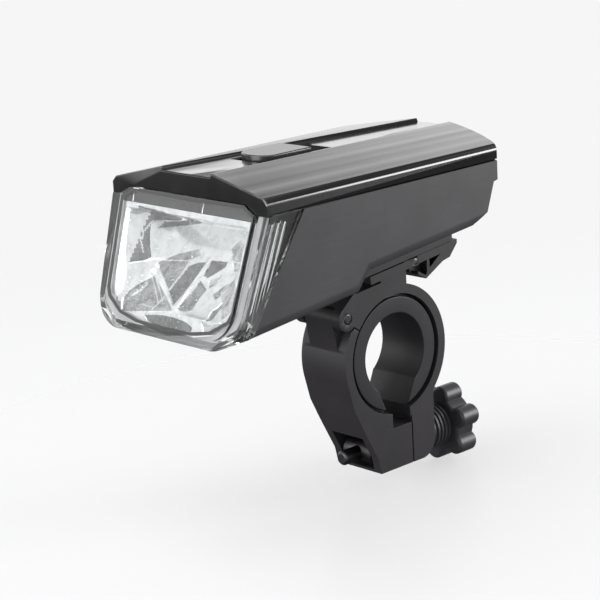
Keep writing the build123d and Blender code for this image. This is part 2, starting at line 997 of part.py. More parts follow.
with BuildPart() as charge_board:
    add(
        block(
            (-charge_board_half_width, socket_front - edge_break, socket_low - board_thickness),
            (charge_board_half_width, port_back - wall - edge_break, socket_low),
        )
    )
charge_board.part.label = "charge_board"
export_step(charge_board.part, "parts/charge_board.step")

# Rubber flap over the charging socket
flap_bead = port_depth / 2
flap_hinge_y = port_back + flap_bead + port_flap_gap / 2
flap_hinge_z = port_floor_z + port_flap_gap + flap_bead
flap_form = rear_form(edge_break / 3)
with BuildPart() as port_cover:
    add(
        block(
            (-port_half_width + port_flap_gap, flap_hinge_y - flap_bead, flap_hinge_z),
            (port_half_width - port_flap_gap, rear_reach, port_floor_z + port_height - port_flap_gap),
        )
    )
    add(flap_form, mode=Mode.INTERSECT)
    add(
        rod(
            flap_bead,
            (-port_half_width + port_flap_gap, flap_hinge_y, flap_hinge_z),
            (port_half_width - port_flap_gap, flap_hinge_y, flap_hinge_z),
        )
    )
port_cover.part.label = "port_cover"
export_step(port_cover.part, "parts/port_cover.step")


def case_screw(x, y):
    """Self-tapping screw from the belly up into the lid's post."""
    low = belly_at(y) + case_screw_head_height
    with BuildPart() as screw:
        add(rod(case_screw_head_radius - fit_gap, (x, y, low - case_screw_head_height / 2), (x, y, low)))
        add(rod(case_screw_radius, (x, y, low), (x, y, post_top + case_screw_length / 3)))
    return screw.part


for name, (x, y) in zip(("front_left", "front_right", "rear_left", "rear_right"), post_places):
    with BuildPart() as casing_screw:
        add(case_screw(x, y))
    casing_screw.part.label = "casing_screw_" + name
    export_step(casing_screw.part, "parts/casing_screw_" + name + ".step")

# Rail under the belly, with a T-shaped slot for the clamp's shoe
slot_neck = neck_height
slot_high = neck_height + head_height
with BuildPart() as base_rail:
    add(deck_prism(rectangle_points(rail_half_width, 0, rail_depth / sqrt(1 + belly_slope_share ** 2)),
                   -rail_front, rail_rear))
    upright_edges = base_rail.edges().filter_by(Axis.Z, tolerance=rail_upright_tolerance)
    chamfer(upright_edges.group_by(Axis.Y)[-1], rail_end_chamfer)
    add(
        deck_prism(rectangle_points(neck_half_width + slot_gap, -overrun, slot_neck), -rail_front - overrun,
                   latch_front),
        mode=Mode.SUBTRACT,
    )
    add(
        deck_prism(rectangle_points(head_half_width + slot_gap, slot_neck - slot_gap, slot_high),
                   -rail_front - overrun, latch_front),
        mode=Mode.SUBTRACT,
    )
    hook_low = latch_hook_place - latch_hook_length / 2 - slot_gap
    hook_high = latch_hook_place + latch_hook_length / 2 + slot_gap
    add(
        deck_prism(rectangle_points(latch_hook_half_width + slot_gap, -overrun, latch_hook_height),
                   hook_low, hook_high),
        mode=Mode.SUBTRACT,
    )
    for y in rail_screw_places:
        add(rod(rail_screw_radius, (0, y, deck_at(y)), (0, y, belly_at(y) + overrun)), mode=Mode.SUBTRACT)
        seat = deck_at(y) + slot_high + rail_screw_sink + rail_screw_head_height
        add(
            rod(rail_screw_head_radius + fit_gap, (0, y, deck_at(y) + slot_neck), (0, y, seat)),
            mode=Mode.SUBTRACT,
        )
base_rail.part.label = "base_rail"
export_step(base_rail.part, "parts/base_rail.step")

for name, y in zip(("front", "rear"), rail_screw_places):
    seat = deck_at(y) + slot_high + rail_screw_sink + rail_screw_head_height
    with BuildPart() as rail_screw:
        add(rod(rail_screw_head_radius, (0, y, seat - rail_screw_head_height), (0, y, seat)))
        add(rod(rail_screw_radius, (0, y, seat), (0, y, seat + rail_screw_length)))
    rail_screw.part.label = "rail_screw_" + name
    export_step(rail_screw.part, "parts/rail_screw_" + name + ".step")

# Clamp bracket: rear half of the ring, shoe, hinge ears and rear lug
far = 3 * ring_radius
gap_low = -ring_radius - gap_depth
shoe_low = -shoe_gap - shoe_thickness


def ray(angle, distance):
    """Point at a distance from the bore's centre, at an angle above the rearward direction."""
    return (distance * cos(radians(angle)), distance * sin(radians(angle)))


split_gap_angle = split_clearance / ring_radius / radians(1)
bracket_cut = [
    (0, 0), ray(split_angle, far), (-far, -far), (lug_parting + lug_parting_gap / 2, -far),
    (lug_parting + lug_parting_gap / 2, gap_low), (gap_rear, gap_low), (gap_rear, -bar_radius),
]
rear_lug = [
    (lug_parting, -bar_radius), (rear_lug_face, -bar_radius), (rear_lug_face, -lug_bottom),
    (lug_parting, -lug_bottom),
]
web = [
    (saddle_rear, bar_radius), (saddle_rear, deck_at(saddle_rear) + shoe_low + edge_break),
    (-saddle_front, deck_at(-saddle_front) + shoe_low + edge_break),
    (hinge_y + ear_radius, hinge_z + 2 * ear_radius + edge_break),
    (hinge_y - ear_radius * ear_slant_share, hinge_z + ear_radius * ear_slant_share),
    (hinge_y, hinge_z), (-bar_radius, bar_radius / 2),
]

with BuildPart() as bracket:
    with BuildSketch(Plane.YZ):
        Circle(ring_radius)
        with BuildLine():
            Polyline(*web, close=True)
        make_face()
        with BuildLine():
            FilletPolyline(*rear_lug, radius=[0, 0, rear_lug_corner, 0], close=True)
        make_face()
        Circle(shell_inner, mode=Mode.SUBTRACT)
        with BuildLine():
            Polyline(*bracket_cut, close=True)
        make_face(mode=Mode.SUBTRACT)
        with Locations((hinge_y, hinge_z)):
            Circle(ear_radius)
    extrude(amount=ring_half_width, both=True)
    add(deck_prism(rectangle_points(shoe_half_width, shoe_low, -shoe_gap), -shoe_front, saddle_rear))
    add(deck_prism(rectangle_points(neck_half_width, -shoe_gap - edge_break, slot_neck + edge_break),
                   -shoe_front, saddle_rear))
    shoe_head = rectangle_points(head_half_width, slot_neck, slot_high - fit_gap)
    add(deck_prism(shoe_head, -shoe_front, saddle_rear))
    for side in (-1, 1):
        low, high = sorted((side * (latch_neck_half_width + latch_side_gap), side * shoe_half_width))
        add(
            side_prism(
                [
                    (saddle_rear - shoe_thickness, deck_at(saddle_rear) + shoe_low),
                    (latch_pivot + shoe_thickness / 2, deck_at(latch_pivot) + shoe_low),
                    (latch_pivot + shoe_thickness / 2, deck_at(latch_pivot) - shoe_gap),
                    (saddle_rear - shoe_thickness, deck_at(saddle_rear) - shoe_gap),
                ],
                low, high,
            )
        )
    knuckle_room = knuckle_half_width + ear_side_gap
    add(
        rod(
            knuckle_radius + ear_clearance,
            (-knuckle_room, hinge_y, hinge_z), (knuckle_room, hinge_y, hinge_z),
        ),
        mode=Mode.SUBTRACT,
    )
    add(
        side_prism(
            [
                (hinge_y + knuckle_radius + ear_clearance, hinge_z),
                (hinge_y + knuckle_radius + ear_clearance, -ring_radius),
                (-far, -ring_radius), (-far, hinge_z),
            ],
            -knuckle_room, knuckle_room,
        ) & side_prism([(0, 0), ray(split_angle, far), (-far, -far)], -knuckle_room, knuckle_room),
        mode=Mode.SUBTRACT,
    )
    notch_front = -saddle_front - overrun
    notch_rear = -saddle_front + shoe_notch_length
    add(
        side_prism(
            [
                (notch_front, deck_at(notch_front) + shoe_low - shoe_notch_height),
                (notch_rear, deck_at(notch_rear) + shoe_low - shoe_notch_height),
                (notch_rear, deck_at(notch_rear) + shoe_low),
                (notch_front, deck_at(notch_front) + shoe_low),
            ],
            knuckle_room, ring_half_width + overrun,
        ),
        mode=Mode.SUBTRACT,
    )
    add(
        rod(hinge_pin_radius, (-far, hinge_y, hinge_z), (far, hinge_y, hinge_z)),
        mode=Mode.SUBTRACT,
    )
    latch_z = deck_at(latch_pivot) - shoe_gap - shoe_thickness / 2
    add(
        rod(latch_pin_radius, (-far, latch_pivot, latch_z), (far, latch_pivot, latch_z)),
        mode=Mode.SUBTRACT,
    )
    add(
        rod(screw_radius + screw_clearance, (0, 0, -screw_drop), (0, far, -screw_drop)),
        mode=Mode.SUBTRACT,
    )
bracket.part.label = "bracket"
export_step(bracket.part, "parts/bracket.step")

with BuildPart() as hinge_pin:
    add(rod(hinge_pin_radius, (-ring_half_width, hinge_y, hinge_z), (ring_half_width, hinge_y, hinge_z)))
    chamfer(hinge_pin.edges().filter_by(GeomType.CIRCLE), edge_break)
hinge_pin.part.label = "hinge_pin"
export_step(hinge_pin.part, "parts/hinge_pin.step")

with BuildPart() as latch_pin:
    latch_ends = [(side * shoe_half_width, latch_pivot, latch_z) for side in (-1, 1)]
    add(rod(latch_pin_radius, *latch_ends))
latch_pin.part.label = "latch_pin"
export_step(latch_pin.part, "parts/latch_pin.step")

# Front jaw: front half of the ring, hinge knuckle and the forked lug
jaw_start = split_angle + split_gap_angle
nut_back = -nut_centre + nut_radius + nut_gap
jaw_cut = [
    (0, 0), ray(jaw_start, far), (-far, far), (far, far), (far, -far),
    (lug_parting - lug_parting_gap / 2, -far), (lug_parting - lug_parting_gap / 2, gap_low),
    (-gap_front, gap_low), (-gap_front, -bar_radius),
]
front_lug = [
    *(ray(angle, ring_radius + bulge) for angle, bulge in zip(lug_bulge_angles, lug_bulges)),
    (-lug_nose, -screw_drop), (-lug_chin, -lug_bottom),
    (lug_parting, -lug_bottom), (lug_parting, -bar_radius), (-bar_radius, -bar_radius / 2),
]
knuckle_arm = [
    (hinge_y - knuckle_radius, hinge_z), ray(knuckle_root_angle, ring_radius),
    ray(knuckle_root_angle, shell_inner + edge_break),
    ray(jaw_start + knuckle_root_turn, shell_inner + edge_break),
    (hinge_y + knuckle_radius / 2, hinge_z - knuckle_radius * knuckle_heel_share),
]

with BuildPart() as front_jaw:
    with BuildSketch(Plane.YZ):
        Circle(ring_radius)
        with BuildLine():
            Polyline(*front_lug, close=True)
        make_face()
        Circle(shell_inner, mode=Mode.SUBTRACT)
        with BuildLine():
            Polyline(*jaw_cut, close=True)
        make_face(mode=Mode.SUBTRACT)
    extrude(amount=ring_half_width, both=True)
    add(
        rod(ear_radius + ear_clearance, (-far, hinge_y, hinge_z), (far, hinge_y, hinge_z)),
        mode=Mode.SUBTRACT,
    )
    add(side_prism(knuckle_arm, -knuckle_half_width, knuckle_half_width))
    knuckle_ends = [(side * knuckle_half_width, hinge_y, hinge_z) for side in (-1, 1)]
    add(rod(knuckle_radius, *knuckle_ends))
    add(
        rod(hinge_pin_radius + hinge_running_gap, (-far, hinge_y, hinge_z), (far, hinge_y, hinge_z)),
        mode=Mode.SUBTRACT,
    )
    add(
        side_prism(
            [
                (-far, gap_low + gap_depth / 2), (nut_back, gap_low - gap_depth),
                (nut_back, -lug_bottom + cheek_thickness / 3), (-far, -lug_bottom + cheek_thickness / 3),
            ],
            -fork_half, fork_half,
        ),
        mode=Mode.SUBTRACT,
    )
    add(
        capsule(
            screw_radius + screw_clearance, -screw_drop,
            -screw_drop + nut_slack + screw_clearance * 2, nut_back - overrun, far,
        ),
        mode=Mode.SUBTRACT,
    )
front_jaw.part.label = "front_jaw"
export_step(front_jaw.part, "parts/front_jaw.step")

# Rubber liner round the handlebar, open at the bottom
vee_y, vee_z = ray(vee_angle, bar_radius)
liner_floor = -shell_inner
with BuildPart() as clamp_liner:
    half = ring_half_width - liner_inset
    with BuildSketch(Plane.YZ):
        Circle(liner_radius)
        Circle(bar_radius, mode=Mode.SUBTRACT)
        with BuildLine():
            Polyline(
                (vee_y, vee_z), (-vee_half_width, liner_floor - overrun),
                (vee_half_width, liner_floor - overrun), (-vee_y, vee_z), (0, 0), close=True,
            )
        make_face(mode=Mode.SUBTRACT)
    extrude(amount=half, both=True)
    for side in (-1, 1):
        with BuildSketch(Plane.YZ.offset(side * half)):
            Circle(liner_radius)
            Circle(liner_radius - liner_groove_width, mode=Mode.SUBTRACT)
        extrude(amount=-side * liner_groove_depth, mode=Mode.SUBTRACT)
clamp_liner.part.label = "clamp_liner"
export_step(clamp_liner.part, "parts/clamp_liner.step")

# Release latch: a lever under the rail with a hook, two open pockets and a finger tab
pivot_low = deck_at(latch_front) + shoe_low
keel_drop = deck_at(latch_keel_place) + shoe_low - latch_keel_depth
latch_side = [
    (latch_front, deck_at(latch_front) - shoe_gap), (latch_rear, deck_at(latch_rear) - shoe_gap),
    (latch_rear, deck_at(latch_rear) + shoe_low + shoe_thickness / 2),
    (latch_rear - latch_tab_length, deck_at(latch_rear) + shoe_low - shoe_thickness),
    (latch_keel_rear, deck_at(latch_keel_rear) + shoe_low - shoe_thickness),
    (latch_keel_place, keel_drop), (latch_keel_front, keel_drop + shoe_thickness),
    (latch_keel_front, pivot_low), (latch_front, pivot_low),
]
latch_gaps = [
    [
        (latch_keel_front + latch_pocket_wall, deck_at(latch_keel_front) + shoe_low),
        (latch_rib_place - latch_rib_half_width, deck_at(latch_rib_place) + shoe_low),
        (latch_rib_place - latch_rib_half_width, keel_drop + 2 * latch_pocket_wall),
        (latch_keel_place, keel_drop + latch_pocket_wall),
        (latch_keel_front + latch_pocket_wall, keel_drop + shoe_thickness + latch_pocket_wall / 2),
    ],
    [
        (latch_rib_place + latch_rib_half_width, deck_at(latch_rib_place) + shoe_low),
        (latch_keel_rear - latch_pocket_wall, deck_at(latch_keel_rear) + shoe_low),
        (latch_rib_place + latch_rib_half_width, keel_drop + 3 * latch_pocket_wall),
    ],
]
with BuildPart() as release_latch:
    add(side_prism(latch_side, -latch_half_width, latch_half_width))
    for points in latch_gaps:
        for side in (-1, 1):
            low, high = sorted((side * (latch_half_width - latch_pocket_depth), side * half_width))
            add(side_prism(points, low, high), mode=Mode.SUBTRACT)
    for side in (-1, 1):
        low, high = sorted((side * latch_neck_half_width, side * half_width))
        clear_y = latch_pivot + shoe_thickness / 2 + latch_side_gap
        add(block((low, latch_front - overrun, 0), (high, clear_y, parting)), mode=Mode.SUBTRACT)
    add(
        deck_prism(
            rectangle_points(
                latch_hook_half_width, -shoe_gap - edge_break, latch_hook_height - slot_gap
            ),
            latch_hook_place - latch_hook_length / 2, latch_hook_place + latch_hook_length / 2,
        )
    )
    add(
        rod(
            latch_pin_radius + hinge_running_gap,
            (-far, latch_pivot, latch_z), (far, latch_pivot, latch_z),
        ),
        mode=Mode.SUBTRACT,
    )
release_latch.part.label = "release_latch"
export_step(release_latch.part, "parts/release_latch.step")

# Barrel nut in the fork, with its threaded hole along Y
with BuildPart() as barrel_nut:
    nut_ends = [(side * nut_half_length, -nut_centre, -screw_drop) for side in (-1, 1)]
    add(rod(nut_radius, *nut_ends))
    chamfer(barrel_nut.edges().filter_by(GeomType.CIRCLE), edge_break)
    add(
        rod(screw_radius + screw_running_gap, (0, -far, -screw_drop), (0, far, -screw_drop)),
        mode=Mode.SUBTRACT,
    )
barrel_nut.part.label = "barrel_nut"
export_step(barrel_nut.part, "parts/barrel_nut.step")

# Clamp screw, washer and lobed thumb knob
screw_end = knob_face + knob_thickness - knob_dish_depth - edge_break
with BuildPart() as clamp_screw:
    add(rod(screw_radius, (0, -screw_tip, -screw_drop), (0, screw_end, -screw_drop)))
    chamfer(clamp_screw.edges().filter_by(GeomType.CIRCLE), screw_tip_chamfer)
clamp_screw.part.label = "clamp_screw"
export_step(clamp_screw.part, "parts/clamp_screw.step")

with BuildPart() as thrust_washer:
    washer_low = rear_lug_face + washer_gap
    add(rod(washer_radius, (0, washer_low, -screw_drop), (0, washer_low + washer_thickness, -screw_drop)))
    add(
        rod(screw_radius + screw_running_gap, (0, 0, -screw_drop), (0, far, -screw_drop)),
        mode=Mode.SUBTRACT,
    )
thrust_washer.part.label = "thrust_washer"
export_step(thrust_washer.part, "parts/thrust_washer.step")

with BuildPart() as thumb_knob:
    with BuildSketch(Plane.XZ.offset(-knob_face)):
        with Locations((0, -screw_drop)):
            Circle(knob_core_radius)
            with PolarLocations(knob_core_radius, knob_lobe_count, start_angle=knob_lobe_turn):
                Circle(knob_lobe_radius)
    extrude(amount=-knob_thickness)
    rims = thumb_knob.faces().filter_by(Axis.Y)
    fillet([edge for face in rims for edge in face.edges()], knob_fillet)
    add(rod(hub_radius, (0, hub_face, -screw_drop), (0, knob_face + edge_break, -screw_drop)))
    for index in range(hub_ring_count):
        ring_start = knob_face - hub_ring_pitch * (index + 1)
        add(
            rod(
                hub_radius + hub_ring_height,
                (0, ring_start, -screw_drop), (0, ring_start + hub_ring_width, -screw_drop),
            )
        )
    dish_start = knob_face + knob_thickness - knob_dish_depth
    add(
        rod(knob_dish_radius, (0, dish_start, -screw_drop), (0, far, -screw_drop)),
        mode=Mode.SUBTRACT,
    )
    add(rod(screw_radius, (0, 0, -screw_drop), (0, screw_end, -screw_drop)), mode=Mode.SUBTRACT)
thumb_knob.part.label = "thumb_knob"
export_step(thumb_knob.part, "parts/thumb_knob.step")
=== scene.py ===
"""Bike headlight on a handlebar clamp: surfaces, finishes, studio and camera.

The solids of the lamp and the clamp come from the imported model. This script gives every visible
piece softened edges, builds the mirror dish, the light guides and the small moulded details,
dresses everything in procedural finishes and sets up a pale studio round it.
"""
from __future__ import annotations

import json
import logging
import math
from dataclasses import dataclass, field
from enum import Enum
from typing import Callable, Iterable, Sequence

import bmesh
import bpy
from mathutils import Matrix, Vector

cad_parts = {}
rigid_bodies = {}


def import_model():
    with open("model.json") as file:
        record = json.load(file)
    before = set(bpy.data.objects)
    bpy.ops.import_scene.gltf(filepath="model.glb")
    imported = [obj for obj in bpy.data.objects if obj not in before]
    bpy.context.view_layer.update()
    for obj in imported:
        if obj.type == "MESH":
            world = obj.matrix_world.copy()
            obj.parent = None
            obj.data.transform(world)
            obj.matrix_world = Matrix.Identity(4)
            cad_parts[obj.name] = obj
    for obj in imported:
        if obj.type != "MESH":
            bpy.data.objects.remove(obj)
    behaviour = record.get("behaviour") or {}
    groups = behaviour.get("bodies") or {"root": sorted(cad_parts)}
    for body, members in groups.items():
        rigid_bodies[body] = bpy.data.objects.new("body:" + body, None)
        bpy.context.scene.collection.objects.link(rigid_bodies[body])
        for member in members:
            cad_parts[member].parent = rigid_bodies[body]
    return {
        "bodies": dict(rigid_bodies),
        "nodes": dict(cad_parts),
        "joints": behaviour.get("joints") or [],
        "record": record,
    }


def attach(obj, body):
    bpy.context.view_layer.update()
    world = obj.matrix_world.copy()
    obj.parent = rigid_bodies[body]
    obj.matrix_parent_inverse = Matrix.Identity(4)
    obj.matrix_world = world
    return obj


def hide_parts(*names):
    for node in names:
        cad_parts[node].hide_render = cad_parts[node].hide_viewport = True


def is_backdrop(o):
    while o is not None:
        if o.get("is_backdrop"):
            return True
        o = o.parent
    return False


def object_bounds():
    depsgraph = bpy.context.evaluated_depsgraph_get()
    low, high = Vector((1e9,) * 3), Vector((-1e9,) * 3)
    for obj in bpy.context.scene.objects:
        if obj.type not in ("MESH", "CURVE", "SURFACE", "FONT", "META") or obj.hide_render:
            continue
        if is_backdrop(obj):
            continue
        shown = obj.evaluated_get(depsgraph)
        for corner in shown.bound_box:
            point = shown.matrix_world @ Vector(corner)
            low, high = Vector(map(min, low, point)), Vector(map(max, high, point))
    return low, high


log = logging.getLogger("headlight")

MM = 0.001

# How far the floor lies below the lowest solid.
FLOOR_GAP = 0.2 * MM
# Corners closer than this are one corner, in the meshes made here and in the solids.
OWN_MERGE, MERGE = 0.001 * MM, 0.002 * MM
# Shorter edges than this aren't rounded, and faces that meet at a flatter angle are one face.
SHORTEST, FLAT = 0.01 * MM, math.radians(0.6)
# Where the lid's front rim and its long shoulders lie, and above which height, in mm.
RIM_FRONT, SHOULDER_SIDE, LID_EDGE = -60.8, 27.4, 54.0

Point = tuple[float, float, float]
Spot = tuple[float, float]
Colour = tuple[float, float, float]
Sockets = dict[int | str, object]


class Signal:
    """A node's output that can be used in sums, differences and products."""

    def __init__(self, tree: "NodeTree", socket: bpy.types.NodeSocket) -> None:
        """Wrap one output socket of a tree."""
        self.tree = tree
        self.socket = socket

    def _maths(self, operation: str, first: "Signal | float", second: "Signal | float") -> "Signal":
        """Result of one Math node with two values or links."""
        return self.tree.node("ShaderNodeMath", {"operation": operation}, {0: first, 1: second})

    def __add__(self, other: "Signal | float") -> "Signal":
        """Sum of two values."""
        return self._maths("ADD", self, other)

    __radd__ = __add__

    def __sub__(self, other: "Signal | float") -> "Signal":
        """Difference of two values."""
        return self._maths("SUBTRACT", self, other)

    def __rsub__(self, other: float) -> "Signal":
        """Difference of a plain number and this value."""
        return self._maths("SUBTRACT", other, self)

    def __mul__(self, other: "Signal | float") -> "Signal":
        """Product of two values."""
        return self._maths("MULTIPLY", self, other)

    __rmul__ = __mul__


class NodeTree:
    """A shader or geometry tree, written through a single node method."""

    def __init__(self, tree: bpy.types.NodeTree) -> None:
        """Take a tree and empty it."""
        self.tree = tree
        self.tree.nodes.clear()

    def node(
        self,
        kind: str,
        settings: dict[str, object] | None = None,
        values: Sockets | None = None,
        result: int | str | None = 0,
    ) -> Signal | None:
        """Add any node.

        Args:
            kind: The node's type name.
            settings: Properties that are set first; "stops" fills a colour ramp.
            values: Numbers, colours, materials or signals for its input sockets.
            result: The output socket that is wanted, or None for a node without outputs.

        Returns:
            The chosen output as a signal.
        """
        made = self.tree.nodes.new(kind)
        for name, value in (settings or {}).items():
            if name == "stops":
                ramp = made.color_ramp
                for index, (place, level) in enumerate(value):
                    stop = ramp.elements[index] if index < 2 else ramp.elements.new(place)
                    stop.position = place
                    stop.color = (level, level, level, 1.0)
            else:
                setattr(made, name, value)
        for name, value in (values or {}).items():
            if isinstance(value, Signal):
                self.tree.links.new(value.socket, made.inputs[name])
            else:
                made.inputs[name].default_value = value
        return None if result is None else Signal(self, made.outputs[result])


class ShaderTree(NodeTree):
    """The node tree of one material or world."""

    def __init__(self, owner: bpy.types.Material | bpy.types.World) -> None:
        """Switch the owner's nodes on and empty its tree."""
        owner.use_nodes = True
        super().__init__(owner.node_tree)

    def ray(self, kind: str) -> Signal:
        """Whether the light path's ray is of a kind, such as Camera or Glossy."""
        return self.node("ShaderNodeLightPath", result=f"Is {kind} Ray")

    def place(self, stretch: Point = (1.0, 1.0, 1.0)) -> Signal:
        """Object coordinates in metres; a small stretch draws a pattern out along that axis."""
        spot = self.node("ShaderNodeTexCoord", result="Object")
        return self.node("ShaderNodeMapping", {}, {"Vector": spot, "Scale": stretch})

    def noise(self, size: float, detail: float = 3.0, stretch: Point = (1.0, 1.0, 1.0)) -> Signal:
        """Noise from 0 to 1, with features of a size in metres and a number of finer layers."""
        return self.node(
            "ShaderNodeTexNoise", {},
            {"Vector": self.place(stretch), "Scale": 1.0 / size, "Detail": detail, "Roughness": 0.55},
        )

    def ramp(self, value: Signal, stops: Sequence[Spot]) -> Signal:
        """Level on a grey ramp, by the place and level of each stop, its two own stops first."""
        return self.node("ShaderNodeValToRGB", {"stops": stops}, {"Fac": value})

    def blend(self, factor: Signal | float, first: Signal | Colour, second: Signal | Colour) -> Signal:
        """Mix of two colours, by the share of the second."""
        pair = [(*part, 1.0) if isinstance(part, tuple) else part for part in (first, second)]
        return self.node(
            "ShaderNodeMix", {"data_type": "RGBA"}, {0: factor, 6: pair[0], 7: pair[1]}, result=2
        )

    def bump(
        self, height: Signal, depth: float, strength: float = 1.0, under: Signal | None = None
    ) -> Signal:
        """Normal bent by a height map of a depth in metres, over the mesh's own normal or another."""
        base = {} if under is None else {"Normal": under}
        return self.node(
            "ShaderNodeBump", {}, {"Height": height, "Distance": depth, "Strength": strength, **base}
        )

    def surface(self, values: Sockets) -> None:
        """Finish a material with one Principled shader and its socket values."""
        shader = self.node("ShaderNodeBsdfPrincipled", {}, values)
        self.node("ShaderNodeOutputMaterial", {}, {"Surface": shader}, result=None)


class Grain(Enum):
    """The surface textures that the moulds and tools of this lamp leave."""

    POLISHED = "polished"
    SATIN = "satin"
    SPARKED = "sparked"
    RUBBERY = "rubbery"


# Size and height of each texture's features in metres.
GRAIN_SIZE = {
    Grain.POLISHED: (9.0 * MM, 0.02 * MM),
    Grain.SATIN: (0.22 * MM, 0.010 * MM),
    Grain.SPARKED: (0.34 * MM, 0.022 * MM),
    Grain.RUBBERY: (0.45 * MM, 0.030 * MM),
}


@dataclass(frozen=True)
class Finish:
    """A finish of the lamp or the clamp.

    Args:
        name: The material's name.
    """

    name: str

    def sockets(self, tree: ShaderTree) -> Sockets:
        """Values and links of the shader's sockets, with their nodes in the material's tree."""
        raise NotImplementedError

    def material(self) -> bpy.types.Material:
        """Build the finish's material.

        Returns:
            The material, with one Principled shader.
        """
        made = bpy.data.materials.new(self.name)
        tree = ShaderTree(made)
        tree.surface(self.sockets(tree))
        return made


@dataclass(frozen=True)
class Moulded(Finish):
    """Moulded plastic or rubber with its grain, flow clouds and fine rubbing marks.

    Args:
        colour: Base colour, linear.
        roughness: Middle roughness.
        grain: The mould's texture.
        shine: Specular level of the surface.
        coat: Weight of a gloss layer.
        rub: How strongly rubbed places go lighter and smoother.
        sweep: Height in metres of the long waves in a gloss surface.
    """

    colour: Colour
    roughness: float
    grain: Grain
    shine: float = 0.5
    coat: float = 0.0
    rub: float = 0.35
    sweep: float = 0.0

    def sockets(self, tree: ShaderTree) -> Sockets:
        """Make the finish's nodes.

        Args:
            tree: The material's tree.

        Returns:
            Values and links of the shader's sockets.
        """
        size, depth = GRAIN_SIZE[self.grain]
        clouds = tree.noise(14.0 * MM, 4.0)
        streaks = tree.noise(1.1 * MM, 5.0, (1.0, 0.06, 1.0))
        marks = tree.ramp(streaks, [(0.57, 0.0), (0.74, 1.0)])
        dust = tree.ramp(tree.noise(0.6 * MM, 2.0), [(0.66, 0.0), (0.76, 1.0)])
        light = tuple(part * 1.35 + 0.012 for part in self.colour)
        dark = tuple(part * 0.82 for part in self.colour)
        base = tree.blend(tree.ramp(clouds, [(0.35, 0.0), (0.68, 1.0)]), dark, self.colour)
        base = tree.blend(marks * (self.rub * 0.45), base, light)
        base = tree.blend(dust * (self.rub * 0.22), base, (0.32, 0.31, 0.30))
        rough = self.roughness + (clouds - 0.5) * (0.16 * self.roughness) + dust * (0.18 * self.rub)
        rough = rough - marks * (0.10 * self.rub)
        grain = tree.noise(size, 2.0 if self.grain is Grain.POLISHED else 3.0)
        under = tree.bump(tree.noise(7.0 * MM, 1.0, (1.0, 0.02, 0.3)), self.sweep) if self.sweep else None
        values: Sockets = {
            "Base Color": base,
            "Roughness": rough,
            "Specular IOR Level": self.shine,
            "Normal": tree.bump(grain, depth, 0.35 if self.grain is Grain.POLISHED else 0.8, under),
        }
        if self.coat > 0.0:
            values["Coat Weight"] = self.coat * (1.0 - dust * 0.5)
            values["Coat Roughness"] = 0.06
        return values


@dataclass(frozen=True)
class Metal(Finish):
    """Bare or plated metal with tool lines along or around it.

    Args:
        colour: Reflection colour, linear.
        roughness: Middle roughness.
        lines: Stretch of the tool lines along X, Y and Z; small runs along that axis.
        depth: Height of the lines in metres.
    """

    colour: Colour
    roughness: float
    lines: Point = (1.0, 1.0, 1.0)
    depth: float = 0.006 * MM

    def sockets(self, tree: ShaderTree) -> Sockets:
        """Make the finish's nodes.

        Args:
            tree: The material's tree.

        Returns:
            Values and links of the shader's sockets.
        """
        lines = tree.noise(0.3 * MM, 4.0, self.lines)
        tarnish = tree.ramp(tree.noise(3.5 * MM, 4.0), [(0.45, 0.0), (0.75, 1.0)])
        dull = tuple(part * 0.72 for part in self.colour)
        return {
            "Base Color": tree.blend(tarnish * 0.5, self.colour, dull),
            "Metallic": 1.0,
            "Roughness": self.roughness + tarnish * 0.12 + (lines - 0.5) * 0.10,
            "Normal": tree.bump(lines, self.depth, 0.6),
        }


@dataclass(frozen=True)
class Mirror(Finish):
    """Vapour-deposited mirror on a moulded dish, with a faint ripple and haze.

    Args:
        colour: Reflection colour, linear.
        roughness: Middle roughness.
        ripple: Height of the ripple in metres.
        painted_reflection_level: Share of the colour that is left, as painted shade for facets that look
            darker: darker copies of the mirror that stand in for the darker surroundings those facets
            reflect.
    """

    colour: Colour = (0.93, 0.94, 0.95)
    roughness: float = 0.08
    ripple: float = 0.02 * MM
    painted_reflection_level: float = 1.0

    def sockets(self, tree: ShaderTree) -> Sockets:
        """Make the finish's nodes.

        Args:
            tree: The material's tree.

        Returns:
            Values and links of the shader's sockets.
        """
        haze = tree.ramp(tree.noise(2.0 * MM, 6.0, (1.0, 1.0, 0.45)), [(0.44, 0.0), (0.60, 1.0)])
        specks = tree.ramp(tree.noise(0.55 * MM, 3.0), [(0.56, 0.0), (0.64, 1.0)])
        # Painted shade: the mirror's colour is darkened by the tint, standing in for darker reflections.
        clean = tuple(part * self.painted_reflection_level for part in self.colour)
        dull = tuple(part * (0.80 if self.painted_reflection_level > 0.9 else 0.45) for part in clean)
        bright = tuple(min(0.95, part * 2.1) for part in clean)
        tone = tree.blend(haze, clean, dull)
        return {
            "Base Color": tree.blend(specks * 0.7, tone, bright),
            "Metallic": 0.5,
            "Roughness": self.roughness + haze * 0.06 + specks * 0.14,
            "Normal": tree.bump(tree.noise(1.9 * MM, 2.0), self.ripple, 0.5),
        }


@dataclass(frozen=True)
class Clear(Finish):
    """Clear or smoked moulded polycarbonate.

    Args:
        colour: Tint of the light that goes through.
        roughness: Middle roughness.
        bending: Refractive index.
    """

    colour: Colour = (0.97, 0.985, 0.985)
    roughness: float = 0.015
    bending: float = 1.54

    def sockets(self, tree: ShaderTree) -> Sockets:
        """Make the finish's nodes.

        Args:
            tree: The material's tree.

        Returns:
            Values and links of the shader's sockets.
        """
        hairs = tree.ramp(tree.noise(0.5 * MM, 5.0, (1.0, 1.0, 0.08)), [(0.62, 0.0), (0.78, 1.0)])
        return {
            "Base Color": tree.blend(hairs * 0.25, self.colour, tuple(part * 0.93 for part in self.colour)),
            "Roughness": self.roughness + hairs * 0.035,
            "Transmission Weight": 1.0,
            "IOR": self.bending,
            "Normal": tree.bump(tree.noise(11.0 * MM, 2.0), 0.03 * MM, 0.3),
        }


